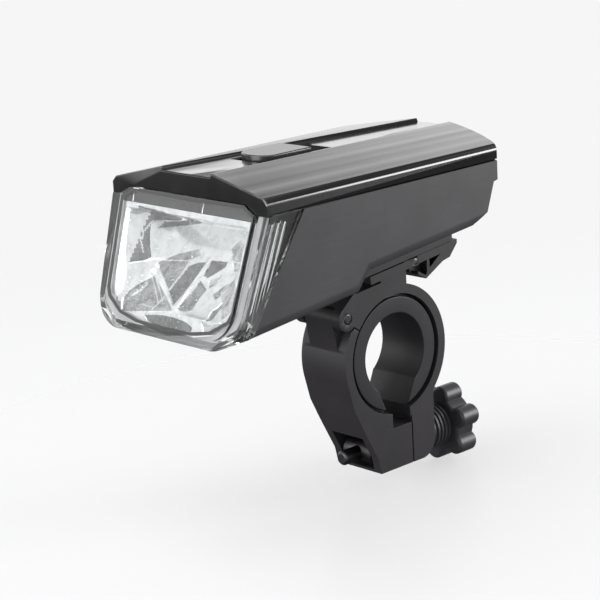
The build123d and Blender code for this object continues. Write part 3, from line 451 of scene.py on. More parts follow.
@dataclass(frozen=True)
class SolderMask(Finish):
    """Circuit board laminate with tracks under its mask.

    Args:
        colour: Mask colour, linear.
    """

    colour: Colour = (0.02, 0.12, 0.05)

    def sockets(self, tree: ShaderTree) -> Sockets:
        """Make the finish's nodes.

        Args:
            tree: The material's tree.

        Returns:
            Values and links of the shader's sockets.
        """
        cells = tree.node(
            "ShaderNodeTexVoronoi", {"distance": "CHEBYCHEV", "feature": "DISTANCE_TO_EDGE"},
            {"Vector": tree.place(), "Scale": 420.0},
        )
        tracks = tree.ramp(cells, [(0.04, 1.0), (0.07, 0.0)])
        light = tuple(part * 1.9 for part in self.colour)
        return {
            "Base Color": tree.blend(tracks, self.colour, light),
            "Roughness": 0.32 + tracks * 0.1,
            "Normal": tree.bump(tracks, 0.03 * MM, 0.7),
        }


@dataclass(frozen=True)
class Phosphor(Finish):
    """Yellow phosphor of the light source, not lit."""

    def sockets(self, tree: ShaderTree) -> Sockets:
        """Make the finish's nodes.

        Args:
            tree: The material's tree.

        Returns:
            Values and links of the shader's sockets.
        """
        specks = tree.noise(0.2 * MM, 4.0)
        return {
            "Base Color": tree.blend(specks, (0.80, 0.55, 0.08), (0.95, 0.80, 0.25)),
            "Roughness": 0.25 + specks * 0.2,
            "Coat Weight": 0.6,
            "Normal": tree.bump(specks, 0.02 * MM, 0.5),
        }


@dataclass(frozen=True)
class Palette:
    """Every finish of the lamp and the clamp, by the slot that it belongs to."""

    finishes: dict[str, Finish] = field(default_factory=lambda: {
        "cover_gloss": Moulded(
            "lid_gloss", (0.005, 0.005, 0.0055), 0.2, Grain.POLISHED, coat=0.5, rub=0.15, sweep=0.5 * MM,
        ),
        "casing_satin": Moulded("casing_satin", (0.047, 0.0455, 0.048), 0.5, Grain.SATIN, shine=0.35),
        "lens_clear": Clear("lens_polycarbonate"),
        "reflector_chrome": Mirror("dish_mirror"),
        "shade_black": Moulded("shade_black", (0.016, 0.016, 0.017), 0.5, Grain.SATIN, shine=0.25),
        "board_green": SolderMask("board_mask"),
        "emitter_yellow": Phosphor("emitter_phosphor"),
        "heat_sink_aluminium": Metal("sink_aluminium", (0.62, 0.63, 0.64), 0.38, (1.0, 0.08, 1.0)),
        "button_black": Moulded("button_black", (0.02, 0.02, 0.021), 0.26, Grain.SATIN, rub=0.4),
        "switch_steel": Metal("switch_steel", (0.55, 0.55, 0.56), 0.3),
        "window_smoke": Clear("window_smoke", (0.12, 0.12, 0.13), 0.06, 1.5),
        "cell_wrap": Moulded("cell_wrap", (0.03, 0.09, 0.26), 0.3, Grain.POLISHED, coat=0.4),
        "cradle_black": Moulded("cradle_black", (0.03, 0.03, 0.03), 0.5, Grain.SATIN),
        "contact_nickel": Metal("contact_nickel", (0.64, 0.61, 0.56), 0.25),
        "socket_steel": Metal("socket_steel", (0.60, 0.60, 0.60), 0.25, (1.0, 0.1, 1.0)),
        "flap_rubber": Moulded("flap_rubber", (0.016, 0.016, 0.017), 0.6, Grain.RUBBERY, shine=0.35),
        "screw_steel": Metal("screw_steel", (0.085, 0.083, 0.088), 0.36, (0.1, 0.1, 1.0)),
        "clamp_black": Moulded("clamp_nylon", (0.024, 0.0215, 0.024), 0.46, Grain.SPARKED, shine=0.4),
        "liner_rubber": Moulded("liner_rubber", (0.019, 0.0175, 0.020), 0.5, Grain.RUBBERY, shine=0.35),
        "nut_black": Metal("nut_black", (0.055, 0.053, 0.055), 0.42, (0.1, 1.0, 1.0)),
        "knob_black": Moulded(
            "knob_nylon", (0.034, 0.032, 0.036), 0.42, Grain.SPARKED, shine=0.45, rub=0.6,
        ),
    })

    def build(self) -> dict[str, bpy.types.Material]:
        """Make every material once, by slot."""
        return {slot: finish.material() for slot, finish in self.finishes.items()}


# The body that carries everything fixed to the lamp.
HOLDER = "lamp_and_bracket"

# Corner numbers of the sides of a block whose corners go round one end and then the other.
BLOCK_SIDES = ((0, 1, 2, 3), (4, 5, 6, 7), (0, 1, 5, 4), (1, 2, 6, 5), (2, 3, 7, 6), (3, 0, 4, 7))


def new_object(name: str, data: bpy.types.ID) -> bpy.types.Object:
    """Put a mesh, a light or the camera into the scene.

    Args:
        name: Name of the new object.
        data: What it shows.

    Returns:
        The new object, at the origin.
    """
    made = bpy.data.objects.new(name, data)
    bpy.context.scene.collection.objects.link(made)
    return made


def mesh_from(name: str, points: Sequence[Point], faces: Sequence[Sequence[int]]) -> bpy.types.Object:
    """Make an object from corner points and faces.

    Args:
        name: Name of the new object.
        points: Corner points in metres.
        faces: Corner numbers of each face.

    Returns:
        The new object, with its normals pointing outwards.
    """
    mesh = bpy.data.meshes.new(name)
    mesh.from_pydata(points, [], faces)
    work = bmesh.new()
    work.from_mesh(mesh)
    bmesh.ops.remove_doubles(work, verts=work.verts, dist=OWN_MERGE)
    bmesh.ops.recalc_face_normals(work, faces=work.faces)
    work.to_mesh(mesh)
    work.free()
    mesh.validate()
    return new_object(name, mesh)


def smooth(piece: bpy.types.Object, degrees: float) -> None:
    """Shade a piece smooth, apart from the edges sharper than an angle."""
    piece.data.shade_smooth()
    piece.data.set_sharp_from_angle(angle=math.radians(degrees))


def bake_modifiers(piece: bpy.types.Object) -> None:
    """Turn a piece with modifiers into a plain mesh and remove the modifiers.

    Args:
        piece: The object.
    """
    graph = bpy.context.evaluated_depsgraph_get()
    plain = bpy.data.meshes.new_from_object(piece.evaluated_get(graph), depsgraph=graph)
    piece.modifiers.clear()
    old = piece.data
    piece.data = plain
    plain.name = piece.name
    if old.users == 0:
        bpy.data.meshes.remove(old)


@dataclass(frozen=True)
class EdgeRule:
    """How the edges of one region are rounded.

    Args:
        width: Width of the rounding in metres.
        segments: How many faces it has across.
        picks: Says whether an edge with this middle in mm, direction and angle is rounded.
    """

    width: float
    segments: int
    picks: Callable[[Vector, Vector, float], bool]


def any_sharp(limit: float = 32.0) -> Callable[[Vector, Vector, float], bool]:
    """Rule for EdgeRule that picks every edge sharper than an angle in degrees."""
    return lambda middle, run, angle: abs(angle) > limit


def lid_rim(middle: Vector, run: Vector, angle: float) -> bool:
    """Rule that picks the lid's front rim and its two long shoulders.

    Args:
        middle: The edge's middle in mm.
        run: Its direction.
        angle: Angle between its faces in degrees.

    Returns:
        True if the edge is rounded.
    """
    if middle.z < LID_EDGE or abs(angle) < 30.0:
        return False
    return middle.y < RIM_FRONT or (abs(run.y) > 0.95 and abs(middle.x) > SHOULDER_SIDE)


@dataclass
class Workshop:
    """Makes the finished pieces and hands them to their bodies.

    Args:
        nodes: The object of each node.
        materials: Every material, by slot.
        body_of: The body of each node.
        slot_of: The material slot of each node.
        replaced: The nodes that a finished piece stands for.
    """

    nodes: dict[str, bpy.types.Object]
    materials: dict[str, bpy.types.Material]
    body_of: dict[str, str]
    slot_of: dict[str, str]
    replaced: set[str] = field(default_factory=set)

    def finish(
        self, piece: bpy.types.Object, body: str, slot: str, replaced: Iterable[str] = ()
    ) -> bpy.types.Object:
        """Give a piece its material, its body and its slot.

        Args:
            piece: The finished object.
            body: The body that it moves with.
            slot: The material slot whose finish it takes.
            replaced: The nodes that it stands for.

        Returns:
            The same piece.
        """
        piece.data.materials.clear()
        piece.data.materials.append(self.materials[slot])
        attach(piece, body)
        if replaced:
            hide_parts(*replaced)
            self.replaced.update(replaced)
        log.info("%s rides on %s as %s", piece.name, body, slot)
        return piece

    def soften(self, node: str, rule: EdgeRule, degrees: float) -> None:
        """Copy a node's solid with rounded edges and put the copy in its place.

        Args:
            node: The node to copy.
            rule: The rounding.
            degrees: Edges sharper than this stay hard in the shading.
        """
        source = bpy.data.meshes.new(node + "_soft")
        work = bmesh.new()
        work.from_mesh(self.nodes[node].data)
        bmesh.ops.remove_doubles(work, verts=work.verts, dist=MERGE)
        bmesh.ops.dissolve_limit(
            work, angle_limit=FLAT, verts=work.verts, edges=work.edges, delimit={"NORMAL"}
        )
        chosen = []
        for edge in work.edges:
            run = edge.verts[1].co - edge.verts[0].co
            if len(edge.link_faces) != 2 or run.length < SHORTEST:
                continue
            angle = math.degrees(edge.calc_face_angle_signed(0.0))
            middle = (edge.verts[0].co + edge.verts[1].co) / 2
            if rule.picks(middle / MM, run.normalized(), angle):
                chosen.append(edge)
        bmesh.ops.bevel(
            work, geom=chosen, offset=rule.width, offset_type="OFFSET", segments=rule.segments,
            profile=0.5, affect="EDGES", clamp_overlap=True, miter_outer="ARC", miter_inner="SHARP",
        )
        bmesh.ops.recalc_face_normals(work, faces=work.faces)
        bmesh.ops.triangulate(work, faces=[face for face in work.faces if len(face.verts) > 4])
        work.to_mesh(source)
        work.free()
        piece = new_object(node + "_soft", source)
        smooth(piece, degrees)
        weigh = piece.modifiers.new("flat_faces", "WEIGHTED_NORMAL")
        weigh.keep_sharp = True
        weigh.weight = 100
        bake_modifiers(piece)
        self.finish(piece, self.body_of[node], self.slot_of[node], [node])

    def recolour(self) -> None:
        """Give every node that stays as it is the finish of its slot."""
        for node, shown in self.nodes.items():
            if node in self.replaced:
                continue
            for holder in shown.material_slots:
                holder.material = self.materials[self.slot_of[node]]
            log.info("%s keeps its solid as %s", node, self.slot_of[node])


class RowTree(NodeTree):
    """Geometry Nodes tree that repeats a shape in a straight row."""

    def __init__(self, name: str, material: bpy.types.Material) -> None:
        """Build the tree with the inputs Count, Step X, Step Y and Step Z.

        Args:
            name: Name of the tree.
            material: Material of the copies.
        """
        super().__init__(bpy.data.node_groups.new(name, "GeometryNodeTree"))
        steps = ["Step " + axis for axis in "XYZ"]
        for label, way, kind in (
            ("Geometry", "INPUT", "Geometry"), ("Geometry", "OUTPUT", "Geometry"),
            ("Count", "INPUT", "Int"), *((label, "INPUT", "Float") for label in steps),
        ):
            self.tree.interface.new_socket(label, in_out=way, socket_type="NodeSocket" + kind)
        step = self.node("ShaderNodeCombineXYZ", {}, {label[-1]: self.given(label) for label in steps})
        line = self.node(
            "GeometryNodeMeshLine", {"mode": "OFFSET"}, {"Count": self.given("Count"), "Offset": step}
        )
        copies = self.node(
            "GeometryNodeInstanceOnPoints", {}, {"Points": line, "Instance": self.given("Geometry")}
        )
        real = self.node("GeometryNodeRealizeInstances", {}, {"Geometry": copies})
        painted = self.node("GeometryNodeSetMaterial", {}, {"Geometry": real, "Material": material})
        self.node("NodeGroupOutput", {}, {"Geometry": painted}, result=None)

    def given(self, name: str) -> Signal:
        """One of the tree's named inputs."""
        return self.node("NodeGroupInput", result=name)

    def apply(self, piece: bpy.types.Object, values: dict[str, float]) -> None:
        """Run the tree on a piece and keep the plain mesh.

        Args:
            piece: The object whose mesh is repeated.
            values: Values of the named inputs.
        """
        modifier = piece.modifiers.new("rows", "NODES")
        modifier.node_group = self.tree
        for item in self.tree.interface.items_tree:
            if item.item_type == "SOCKET" and item.in_out == "INPUT" and item.name in values:
                modifier[item.identifier] = values[item.name]
        bake_modifiers(piece)


@dataclass(frozen=True)
class Face:
    """The leaning front plane of the lamp.

    Args:
        reach: Distance of its top edge ahead of the handlebar, in mm.
        parting: Height of its top edge in mm.
        lean: How far it falls back for each mm down.
    """

    reach: float = 61.2
    parting: float = 51.1
    lean: float = 0.345

    def at(self, across: float, down: float, depth: float) -> Point:
        """Point on or behind the face.

        Args:
            across: Place to the lamp's right in mm.
            down: Distance down the face in mm.
            depth: Distance behind the face in mm.

        Returns:
            The place in metres.
        """
        long = math.hypot(1.0, self.lean)
        ahead = (-down * self.lean + depth) / long
        height = (-down - depth * self.lean) / long
        return across * MM, (ahead - self.reach) * MM, (self.parting + height) * MM


FACE = Face()


def inside(place: Spot, corners: Sequence[Spot]) -> bool:
    """Whether a place on the face plane lies in a polygon.

    Args:
        place: The place.
        corners: The polygon's corners in order.

    Returns:
        True if it does.
    """
    hit = False
    for (ax, ay), (bx, by) in zip(corners, [*corners[1:], corners[0]]):
        if (ay > place[1]) != (by > place[1]):
            if place[0] < ax + (bx - ax) * (place[1] - ay) / (by - ay):
                hit = not hit
    return hit


def apart(place: Spot, path: Sequence[Spot]) -> float:
    """Distance from a place on the face plane to a path of straight runs.

    Args:
        place: The place.
        path: The path's corners in order.

    Returns:
        The distance in mm.
    """
    best = math.inf
    for (ax, ay), (bx, by) in zip(path, path[1:]):
        run = (bx - ax) ** 2 + (by - ay) ** 2
        share = max(0.0, min(1.0, ((place[0] - ax) * (bx - ax) + (place[1] - ay) * (by - ay)) / run))
        best = min(best, math.hypot(place[0] - ax - share * (bx - ax), place[1] - ay - share * (by - ay)))
    return best


@dataclass(frozen=True)
class Facet:
    """A facet of the dish.

    Args:
        tone: Which of the dish's painted reflection levels it has, 0 for the brightest; the darker levels
            are painted shade.
        step: How far it lies behind the smooth dish in mm.
        corners: Its outline, across and down the face in mm.
    """

    tone: int
    step: float
    corners: tuple[Spot, ...]


@dataclass(frozen=True)
class Ridge:
    """A raised line between facets of the dish.

    Args:
        half: Half its width in mm.
        path: Its corners, across and down the face in mm.
    """

    half: float
    path: tuple[Spot, ...]


@dataclass
class Optics:
    """The mirror dish with its facets, the dark shade over it and a dark band round the window.

    Args:
        shop: Finishes the pieces.
        flange: Depth of the dish's rim behind the face in mm.
        hollow: Greatest extra depth of the dish in mm.
        ledge: How far the rim comes down at the top, in mm down the face.
        foot: Where the dish meets its rim again at the bottom.
        flat_half: Half width of the dish's even middle.
        wall_half: Half width at which its side walls end.
        cell: Size of the relief's cells in mm.
        backing: Thickness of the dish in mm.
        edge: Half width of the dish's rim at several distances down the face.
        window: Right half of the window's outline, across and down the face.
        middle: Distance down the face from which the outline is grown.
        ribs: How many clear ribs stand behind each side window.
        rib_pitch: Distance between them in mm.
        rib_depth: Depth of the first one behind the face in mm.
        lip: Distance in mm over which the dish deepens below its top edge.
        curve: Power by which its depth falls off towards the bottom.
        skirt: Reach of a ridge's slopes, as a share of its half width.
        crown: Height of a ridge, as a share of its half width.
        spread: Factor on the distances from the window's outline.
        arris: Rounding of the plates' edges in mm.
        facets: The dish's facets; a later one covers an earlier one's tone.
        ridges: The raised lines between them.
    """

    shop: Workshop
    flange: float = 1.95
    hollow: float = 10.4
    ledge: float = 3.0
    foot: float = 26.4
    flat_half: float = 13.0
    wall_half: float = 23.5
    cell: float = 0.22
    backing: float = 0.5
    edge: tuple[Spot, ...] = (
        (1.6, 26.4), (24.0, 24.6), (26.2, 22.8), (29.2, 17.5), (30.6, 10.5), (31.0, 6.0),
    )
    window: tuple[Spot, ...] = (
        (0.0, -1.75), (21.2, -1.75), (25.1, 0.3), (24.0, 23.6), (22.9, 25.9), (17.4, 29.3),
        (10.5, 30.7), (0.0, 31.1),
    )
    middle: float = 14.0
    ribs: int = 3
    rib_pitch: float = 2.0
    rib_depth: float = 2.9
    lip: float = 0.6
    curve: float = 0.7
    skirt: float = 1.3
    crown: float = 0.3
    spread: float = 1.15
    arris: float = 0.12
    facets: tuple[Facet, ...] = (
        Facet(3, 0.2, (
            (-18.6, 2.3), (-13.0, 2.5), (-7.8, 2.8), (-14.5, 4.0), (-17.7, 4.9), (-18.3, 6.4),
            (-17.9, 9.0), (-17.2, 12.1), (-16.3, 14.4), (-16.9, 15.3), (-20.1, 16.9), (-19.7, 13.4),
            (-19.4, 10.7), (-19.1, 6.0),
        )),
        Facet(3, 0.15, (
            (-17.0, 6.8), (-16.4, 4.9), (-14.6, 3.7), (-5.0, 3.6), (-9.0, 4.6), (-14.1, 5.6),
        )),
        Facet(2, 0.25, (
            (-14.6, 15.7), (-11.8, 13.6), (-8.8, 12.2), (-5.1, 10.9), (-4.0, 14.5), (-5.9, 21.1),
        )),
        Facet(3, 0.35, ((-3.1, 14.7), (-0.6, 13.5), (2.3, 12.9), (1.8, 15.0), (-0.8, 24.5), (-5.6, 21.4))),
        Facet(2, 0.25, (
            (-17.8, 28.8), (-18.5, 25.3), (-17.6, 23.2), (-16.1, 21.4), (-14.2, 19.5), (-13.0, 18.8),
            (-6.9, 22.2), (-3.2, 24.0), (0.4, 26.1), (-8.0, 27.4),
        )),
        Facet(3, 0.25, ((3.9, 12.3), (9.5, 11.9), (9.5, 13.2), (5.3, 16.6), (3.5, 16.4))),
        Facet(2, 0.25, ((3.4, 17.7), (7.1, 19.4), (6.2, 21.8), (6.5, 24.9), (4.3, 25.6), (1.2, 25.3))),
        Facet(3, 0.1, (
            (-8.9, 28.5), (-3.5, 27.6), (2.2, 27.4), (7.1, 27.9), (9.5, 28.9), (9.2, 29.8), (3.1, 30.5),
            (-2.6, 30.7), (-7.0, 29.8),
        )),
        Facet(2, 0.15, ((9.7, 20.2), (11.2, 18.8), (13.3, 16.7), (13.5, 19.1), (11.8, 21.3))),
        Facet(2, 0.2, (
            (13.7, 26.6), (12.9, 24.1), (14.3, 22.5), (15.4, 19.4), (16.6, 20.2), (15.6, 23.5), (15.0, 26.3),
        )),
        Facet(1, 0.1, ((-5.1, 10.9), (-2.4, 10.1), (-0.8, 11.5), (-4.4, 13.2))),
        Facet(1, 0.1, ((-21.5, 3.4), (-18.9, 3.2), (-20.6, 4.6), (-22.0, 4.4))),
        Facet(1, 0.1, ((6.4, 17.2), (9.6, 15.4), (9.0, 18.0), (7.4, 19.0))),
        Facet(1, 0.15, ((11.6, 19.0), (14.8, 15.5), (23.4, 17.8), (22.3, 22.9), (18.8, 25.3))),
        Facet(1, 0.1, ((8.4, 8.2), (10.2, 6.0), (21.7, 10.6), (13.2, 14.0))),
        Facet(1, 0.12, ((12.3, 26.8), (16.2, 27.4), (20.3, 25.5), (19.1, 28.1), (14.0, 29.6))),
    )
    ridges: tuple[Ridge, ...] = (
        Ridge(0.5, ((2.9, 12.2), (1.9, 16.4), (0.8, 21.0), (0.7, 25.6))),
        Ridge(0.42, ((-14.6, 17.9), (-7.4, 21.6), (0.3, 25.5))),
        Ridge(0.15, ((-3.8, 15.2), (-5.6, 21.4), (-6.7, 27.6))),
        Ridge(0.14, ((-20.1, 16.9), (-14.8, 14.7), (-5.0, 13.5), (2.7, 11.9), (7.7, 11.4), (16.0, 11.6))),
        Ridge(0.14, ((-7.2, 2.9), (-13.0, 3.8), (-18.2, 5.4), (-19.0, 8.2), (-19.1, 10.7), (-18.1, 13.6))),
        Ridge(0.12, ((-14.1, 19.3), (-6.6, 24.9))),
        Ridge(0.12, ((-12.4, 19.5), (-5.6, 24.2))),
        Ridge(0.12, ((-17.2, 29.1), (0.1, 26.7))),
        Ridge(0.12, ((10.2, 24.6), (13.6, 18.2))),
        Ridge(0.12, ((11.6, 25.2), (14.8, 19.6))),
    )

    def __post_init__(self) -> None:
        """Make the mirror's painted reflection levels, one darker copy of the mirror for each, from the
        brightest facets to the darkest.
        """
        self.painted_reflection_tones = [
            Mirror(f"dish_painted_reflection_{int(tone * 100)}", painted_reflection_level=tone).material()
            for tone in (0.92, 0.6, 0.36, 0.2)
        ]
        # Pale grey painted light: a painted reflection on the corner blocks and a painted highlight in the
        # band round the window.
        self.painted_reflection_pale = Moulded(
            "pale_painted_reflection", (0.56, 0.56, 0.57), 0.22, Grain.POLISHED, coat=0.6, rub=0.2,
        ).material()

    def depth(self, across: float, down: float) -> float:
        """Depth of the smooth dish behind the face.

        Args:
            across: Place across the face in mm.
            down: Place down the face in mm.

        Returns:
            The depth in mm.
        """
        reach = abs(across)
        if not self.ledge < down < self.foot or reach > self.wall_half:
            return self.flange
        share = 1.0
        if reach > self.flat_half:
            turn = (reach - self.flat_half) / (self.wall_half - self.flat_half)
            share = 0.5 + 0.5 * math.cos(math.pi * turn)
        fall = (down - self.ledge) / (self.foot - self.ledge)
        lip = min(1.0, (down - self.ledge) / self.lip)
        return self.flange + share * self.hollow * (1.0 - fall) ** self.curve * lip

    def rim(self, down: float) -> float:
        """Half width of the dish's rim.

        Args:
            down: Distance down the face in mm.

        Returns:
            The half width in mm.
        """
        for (above, wide), (below, narrow) in zip(self.edge, self.edge[1:]):
            if down <= below:
                return wide + (narrow - wide) * max(0.0, (down - above) / (below - above))
        return self.edge[-1][1]

    def dish(self) -> None:
        """Build the relief of the dish, with one material slot for each tone of painted reflection."""
        top, widest = self.edge[0]
        drop = self.edge[-1][0] - top
        rows = int(drop / self.cell)
        columns = int(2 * widest / self.cell)
        points, faces, painted_reflection_tones = [], [], []
        for row in range(rows + 1):
            down = top + drop * row / rows
            wide = self.rim(down)
            for column in range(columns + 1):
                across = wide * (2.0 * column / columns - 1.0)
                spot = (across, down)
                steps = (facet.step for facet in self.facets if inside(spot, facet.corners))
                depth = self.depth(across, down) + next(steps, 0.0)
                for ridge in self.ridges:
                    foot = ridge.half * self.skirt
                    gap = apart(spot, ridge.path)
                    if gap < foot:
                        depth -= self.crown * ridge.half * (1.0 - (gap / foot) ** 2)
                points.append(FACE.at(across, down, depth))
        for row in range(rows):
            down = top + drop * (row + 0.5) / rows
            wide = self.rim(down)
            for column in range(columns):
                spot = (wide * (2.0 * (column + 0.5) / columns - 1.0), down)
                corner = row * (columns + 1) + column
                faces.append((corner, corner + 1, corner + columns + 2, corner + columns + 1))
                # Faces on a ridge take the brightest tone as a painted highlight, and so do faces outside
                # every facet; the others take their facet's tone as painted reflection and painted shade.
                covers = [facet.tone for facet in self.facets if inside(spot, facet.corners)]
                raised = any(apart(spot, ridge.path) < ridge.half for ridge in self.ridges)
                painted_reflection_tones.append(covers[-1] if covers and not raised else 0)
        mesh = bpy.data.meshes.new("dish")
        mesh.from_pydata(points, [], faces)
        for tone in self.painted_reflection_tones:
            mesh.materials.append(tone)
        mesh.polygons.foreach_set("material_index", painted_reflection_tones)
        piece = new_object("dish", mesh)
        backing = piece.modifiers.new("backing", "SOLIDIFY")
        backing.thickness = self.backing * MM
        backing.offset = 1.0
        bake_modifiers(piece)
        smooth(piece, 30.0)
        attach(piece, self.shop.body_of["reflector"])
        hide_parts("reflector")
        self.shop.replaced.add("reflector")

    def slab(
        self, name: str, slot: str, spans: Sequence[Spot], low: float, high: float, near: float, far: float,
    ) -> None:
        """Plate behind the face, with one or more spans across.

        Args:
            name: Name of the piece.
            slot: Its material slot.
            spans: Left and right ends of each part in mm.
            low: Upper edge in mm down the face.
            high: Lower edge in mm down the face.
            near: Depth of the front in mm.
            far: Depth of the back in mm.
        """
        points, faces = [], []
        for left, right in spans:
            faces += [tuple(len(points) + corner for corner in side) for side in BLOCK_SIDES]
            points += [
                FACE.at(across, down, depth) for depth in (near, far)
                for across, down in ((left, low), (right, low), (right, high), (left, high))
            ]
        piece = mesh_from(name, points, faces)
        edges = piece.modifiers.new("edges", "BEVEL")
        edges.width, edges.segments = self.arris * MM, 2
        bake_modifiers(piece)
        smooth(piece, 35.0)
        self.shop.finish(piece, HOLDER, slot)

    def band(
        self, name: str, slot: str, near: float, far: float, out: float, width: float, openings: int = 0
    ) -> bpy.types.Object:
        """Flat band that follows the window's outline.

        Args:
            name: Name of the piece.
            slot: Its material slot.
            near: Depth of its front in mm.
            far: Depth of its back in mm.
            out: How far its outer edge lies outside the window's edge, in mm.
            width: Width of the band in mm.
            openings: How many corners at each end of the top edge are left out.

        Returns:
            The finished piece.
        """
        outline = (*self.window, *[(-across, down) for across, down in self.window[-2:0:-1]])
        rings = []
        for grown in (out, out - width):
            ring = []
            for across, down in outline:
                share = 1.0 + grown / math.hypot(across, down - self.middle) * self.spread
                ring.append((across * share, self.middle + (down - self.middle) * share))
            rings.append(ring)
        count = len(rings[0])
        points = [FACE.at(*spot, depth) for depth in (near, far) for ring in rings for spot in ring]
        faces = []
        for index in range(openings, count - openings):
            after = (index + 1) % count
            for first, second in ((0, count), (3 * count, 2 * count), (2 * count, 0), (count, 3 * count)):
                faces.append((first + index, first + after, second + after, second + index))
        if openings:
            for index in (openings, count - openings):
                faces.append((index, count + index, 3 * count + index, 2 * count + index))
        piece = mesh_from(name, points, faces)
        return self.shop.finish(piece, HOLDER, slot)

    def guides(self) -> None:
        """Clear ribs behind both side windows."""
        tree = RowTree("rib_row", self.shop.materials["lens_clear"])
        for side in (-1.0, 1.0):
            points = [
                FACE.at(side * (wide + out), down, self.rib_depth + depth)
                for down, half, wide in ((1.2, 0.75, 27.01), (29.0, 0.4, 24.93))
                for depth, out in ((-half, 0.0), (half, 0.0), (half * 0.6, -0.9), (-half * 0.6, -0.9))
            ]
            piece = mesh_from("side_rib_" + ("left" if side < 0 else "right"), points, BLOCK_SIDES)
            tree.apply(piece, {"Count": self.ribs, "Step Y": self.rib_pitch * MM})
            smooth(piece, 30.0)
            self.shop.finish(piece, HOLDER, "lens_clear")

    def prisms(self) -> None:
        """Faceted block in each lower corner of the lens, painted pale as a painted reflection of a faceted
        mirror corner.
        """
        for side in (-1.0, 1.0):
            points = [
                FACE.at(side * across, down, depth) for across, down, depth in (
                    (23.6, 24.6, 0.9), (24.4, 25.0, 6.6), (21.9, 27.6, 0.9), (22.9, 28.2, 7.0),
                    (20.6, 25.6, 1.4), (21.2, 26.2, 6.0), (19.9, 28.6, 1.2), (21.0, 29.3, 5.8),
                )
            ]
            faces = [
                (0, 1, 3, 2), (2, 3, 7, 6), (4, 5, 1, 0), (6, 7, 5, 4), (0, 2, 4), (2, 6, 4),
                (1, 5, 3), (3, 5, 7),
            ]
            piece = mesh_from("corner_prism_" + ("left" if side < 0 else "right"), points, faces)
            self.shop.finish(piece, HOLDER, "reflector_chrome")
            # Painted reflection: pale grey in place of the mirror.
            piece.data.materials[0] = self.painted_reflection_pale

    def build(self) -> None:
        """Build the dish, the shade and the dark band round the window."""
        self.dish()
        spans = [(-26.0, -22.4), (-22.2, 4.2), (4.4, 26.0)]
        self.slab("shade_visor", "shade_black", spans, low=-1.2, high=1.55, near=2.1, far=5.6)
        # Dark band just inside the window's edge.
        self.band("window_dark_band", "shade_black", near=0.2, far=0.8, out=0.0, width=0.8)
        # Pale band outside the window's edge: a painted highlight along the bright rim of the raised window.
        edge_highlight = self.band(
            "window_edge_highlight", "reflector_chrome", near=1.25, far=1.6, out=1.9, width=1.6, openings=2
        )
        edge_highlight.data.materials[0] = self.painted_reflection_pale
        lines = [(-21.4, -21.15), (5.3, 5.55)]
        self.slab("visor_ribs", "reflector_chrome", lines, low=-1.0, high=1.5, near=1.95, far=2.1)
        self.guides()
        self.prisms()


@dataclass
class Lamp:
    """The lamp's shell: lid, casing, lens, button and port cover.

    Args:
        shop: Finishes the pieces.
        crest: Rounding of the lid's front rim and shoulders.
        lip: Rounding of the lens.
        small: Rounding of the casing's edges.
    """

    shop: Workshop
    crest: float = 0.6 * MM
    lip: float = 0.35 * MM
    small: float = 0.22 * MM

    def build(self) -> None:
        """Dress the shell."""
        for node, rule, degrees in (
            ("top_cover", EdgeRule(self.crest, 4, lid_rim), 24.0),
            ("lower_casing", EdgeRule(self.small, 2, any_sharp(30.0)), 24.0),
            ("front_lens", EdgeRule(self.lip, 3, any_sharp(30.0)), 26.0),
            ("power_button", EdgeRule(0.15 * MM, 2, any_sharp(40.0)), 30.0),
            ("port_cover", EdgeRule(0.3 * MM, 2, any_sharp(40.0)), 30.0),
        ):
            self.shop.soften(node, rule, degrees)


@dataclass
class Clamp:
    """The handlebar clamp: ring halves, liner, latch, screw, nut and knob.

    Args:
        shop: Finishes the pieces.
        small: Rounding of the moulded edges.
    """

    shop: Workshop
    small: float = 0.3 * MM

    def build(self) -> None:
        """Dress the clamp."""
        moulded = EdgeRule(self.small, 2, any_sharp())
        knob = EdgeRule(0.2 * MM, 2, any_sharp(40.0))
        turned = EdgeRule(0.12 * MM, 2, any_sharp(40.0))
        for rule, degrees, nodes in (
            (moulded, 28.0, ("bracket", "front_jaw", "clamp_liner", "release_latch", "base_rail")),
            (knob, 32.0, ("thumb_knob",)),
            (turned, 32.0, ("hinge_pin", "latch_pin", "barrel_nut", "clamp_screw", "thrust_washer")),
        ):
            for node in nodes:
                self.shop.soften(node, rule, degrees)


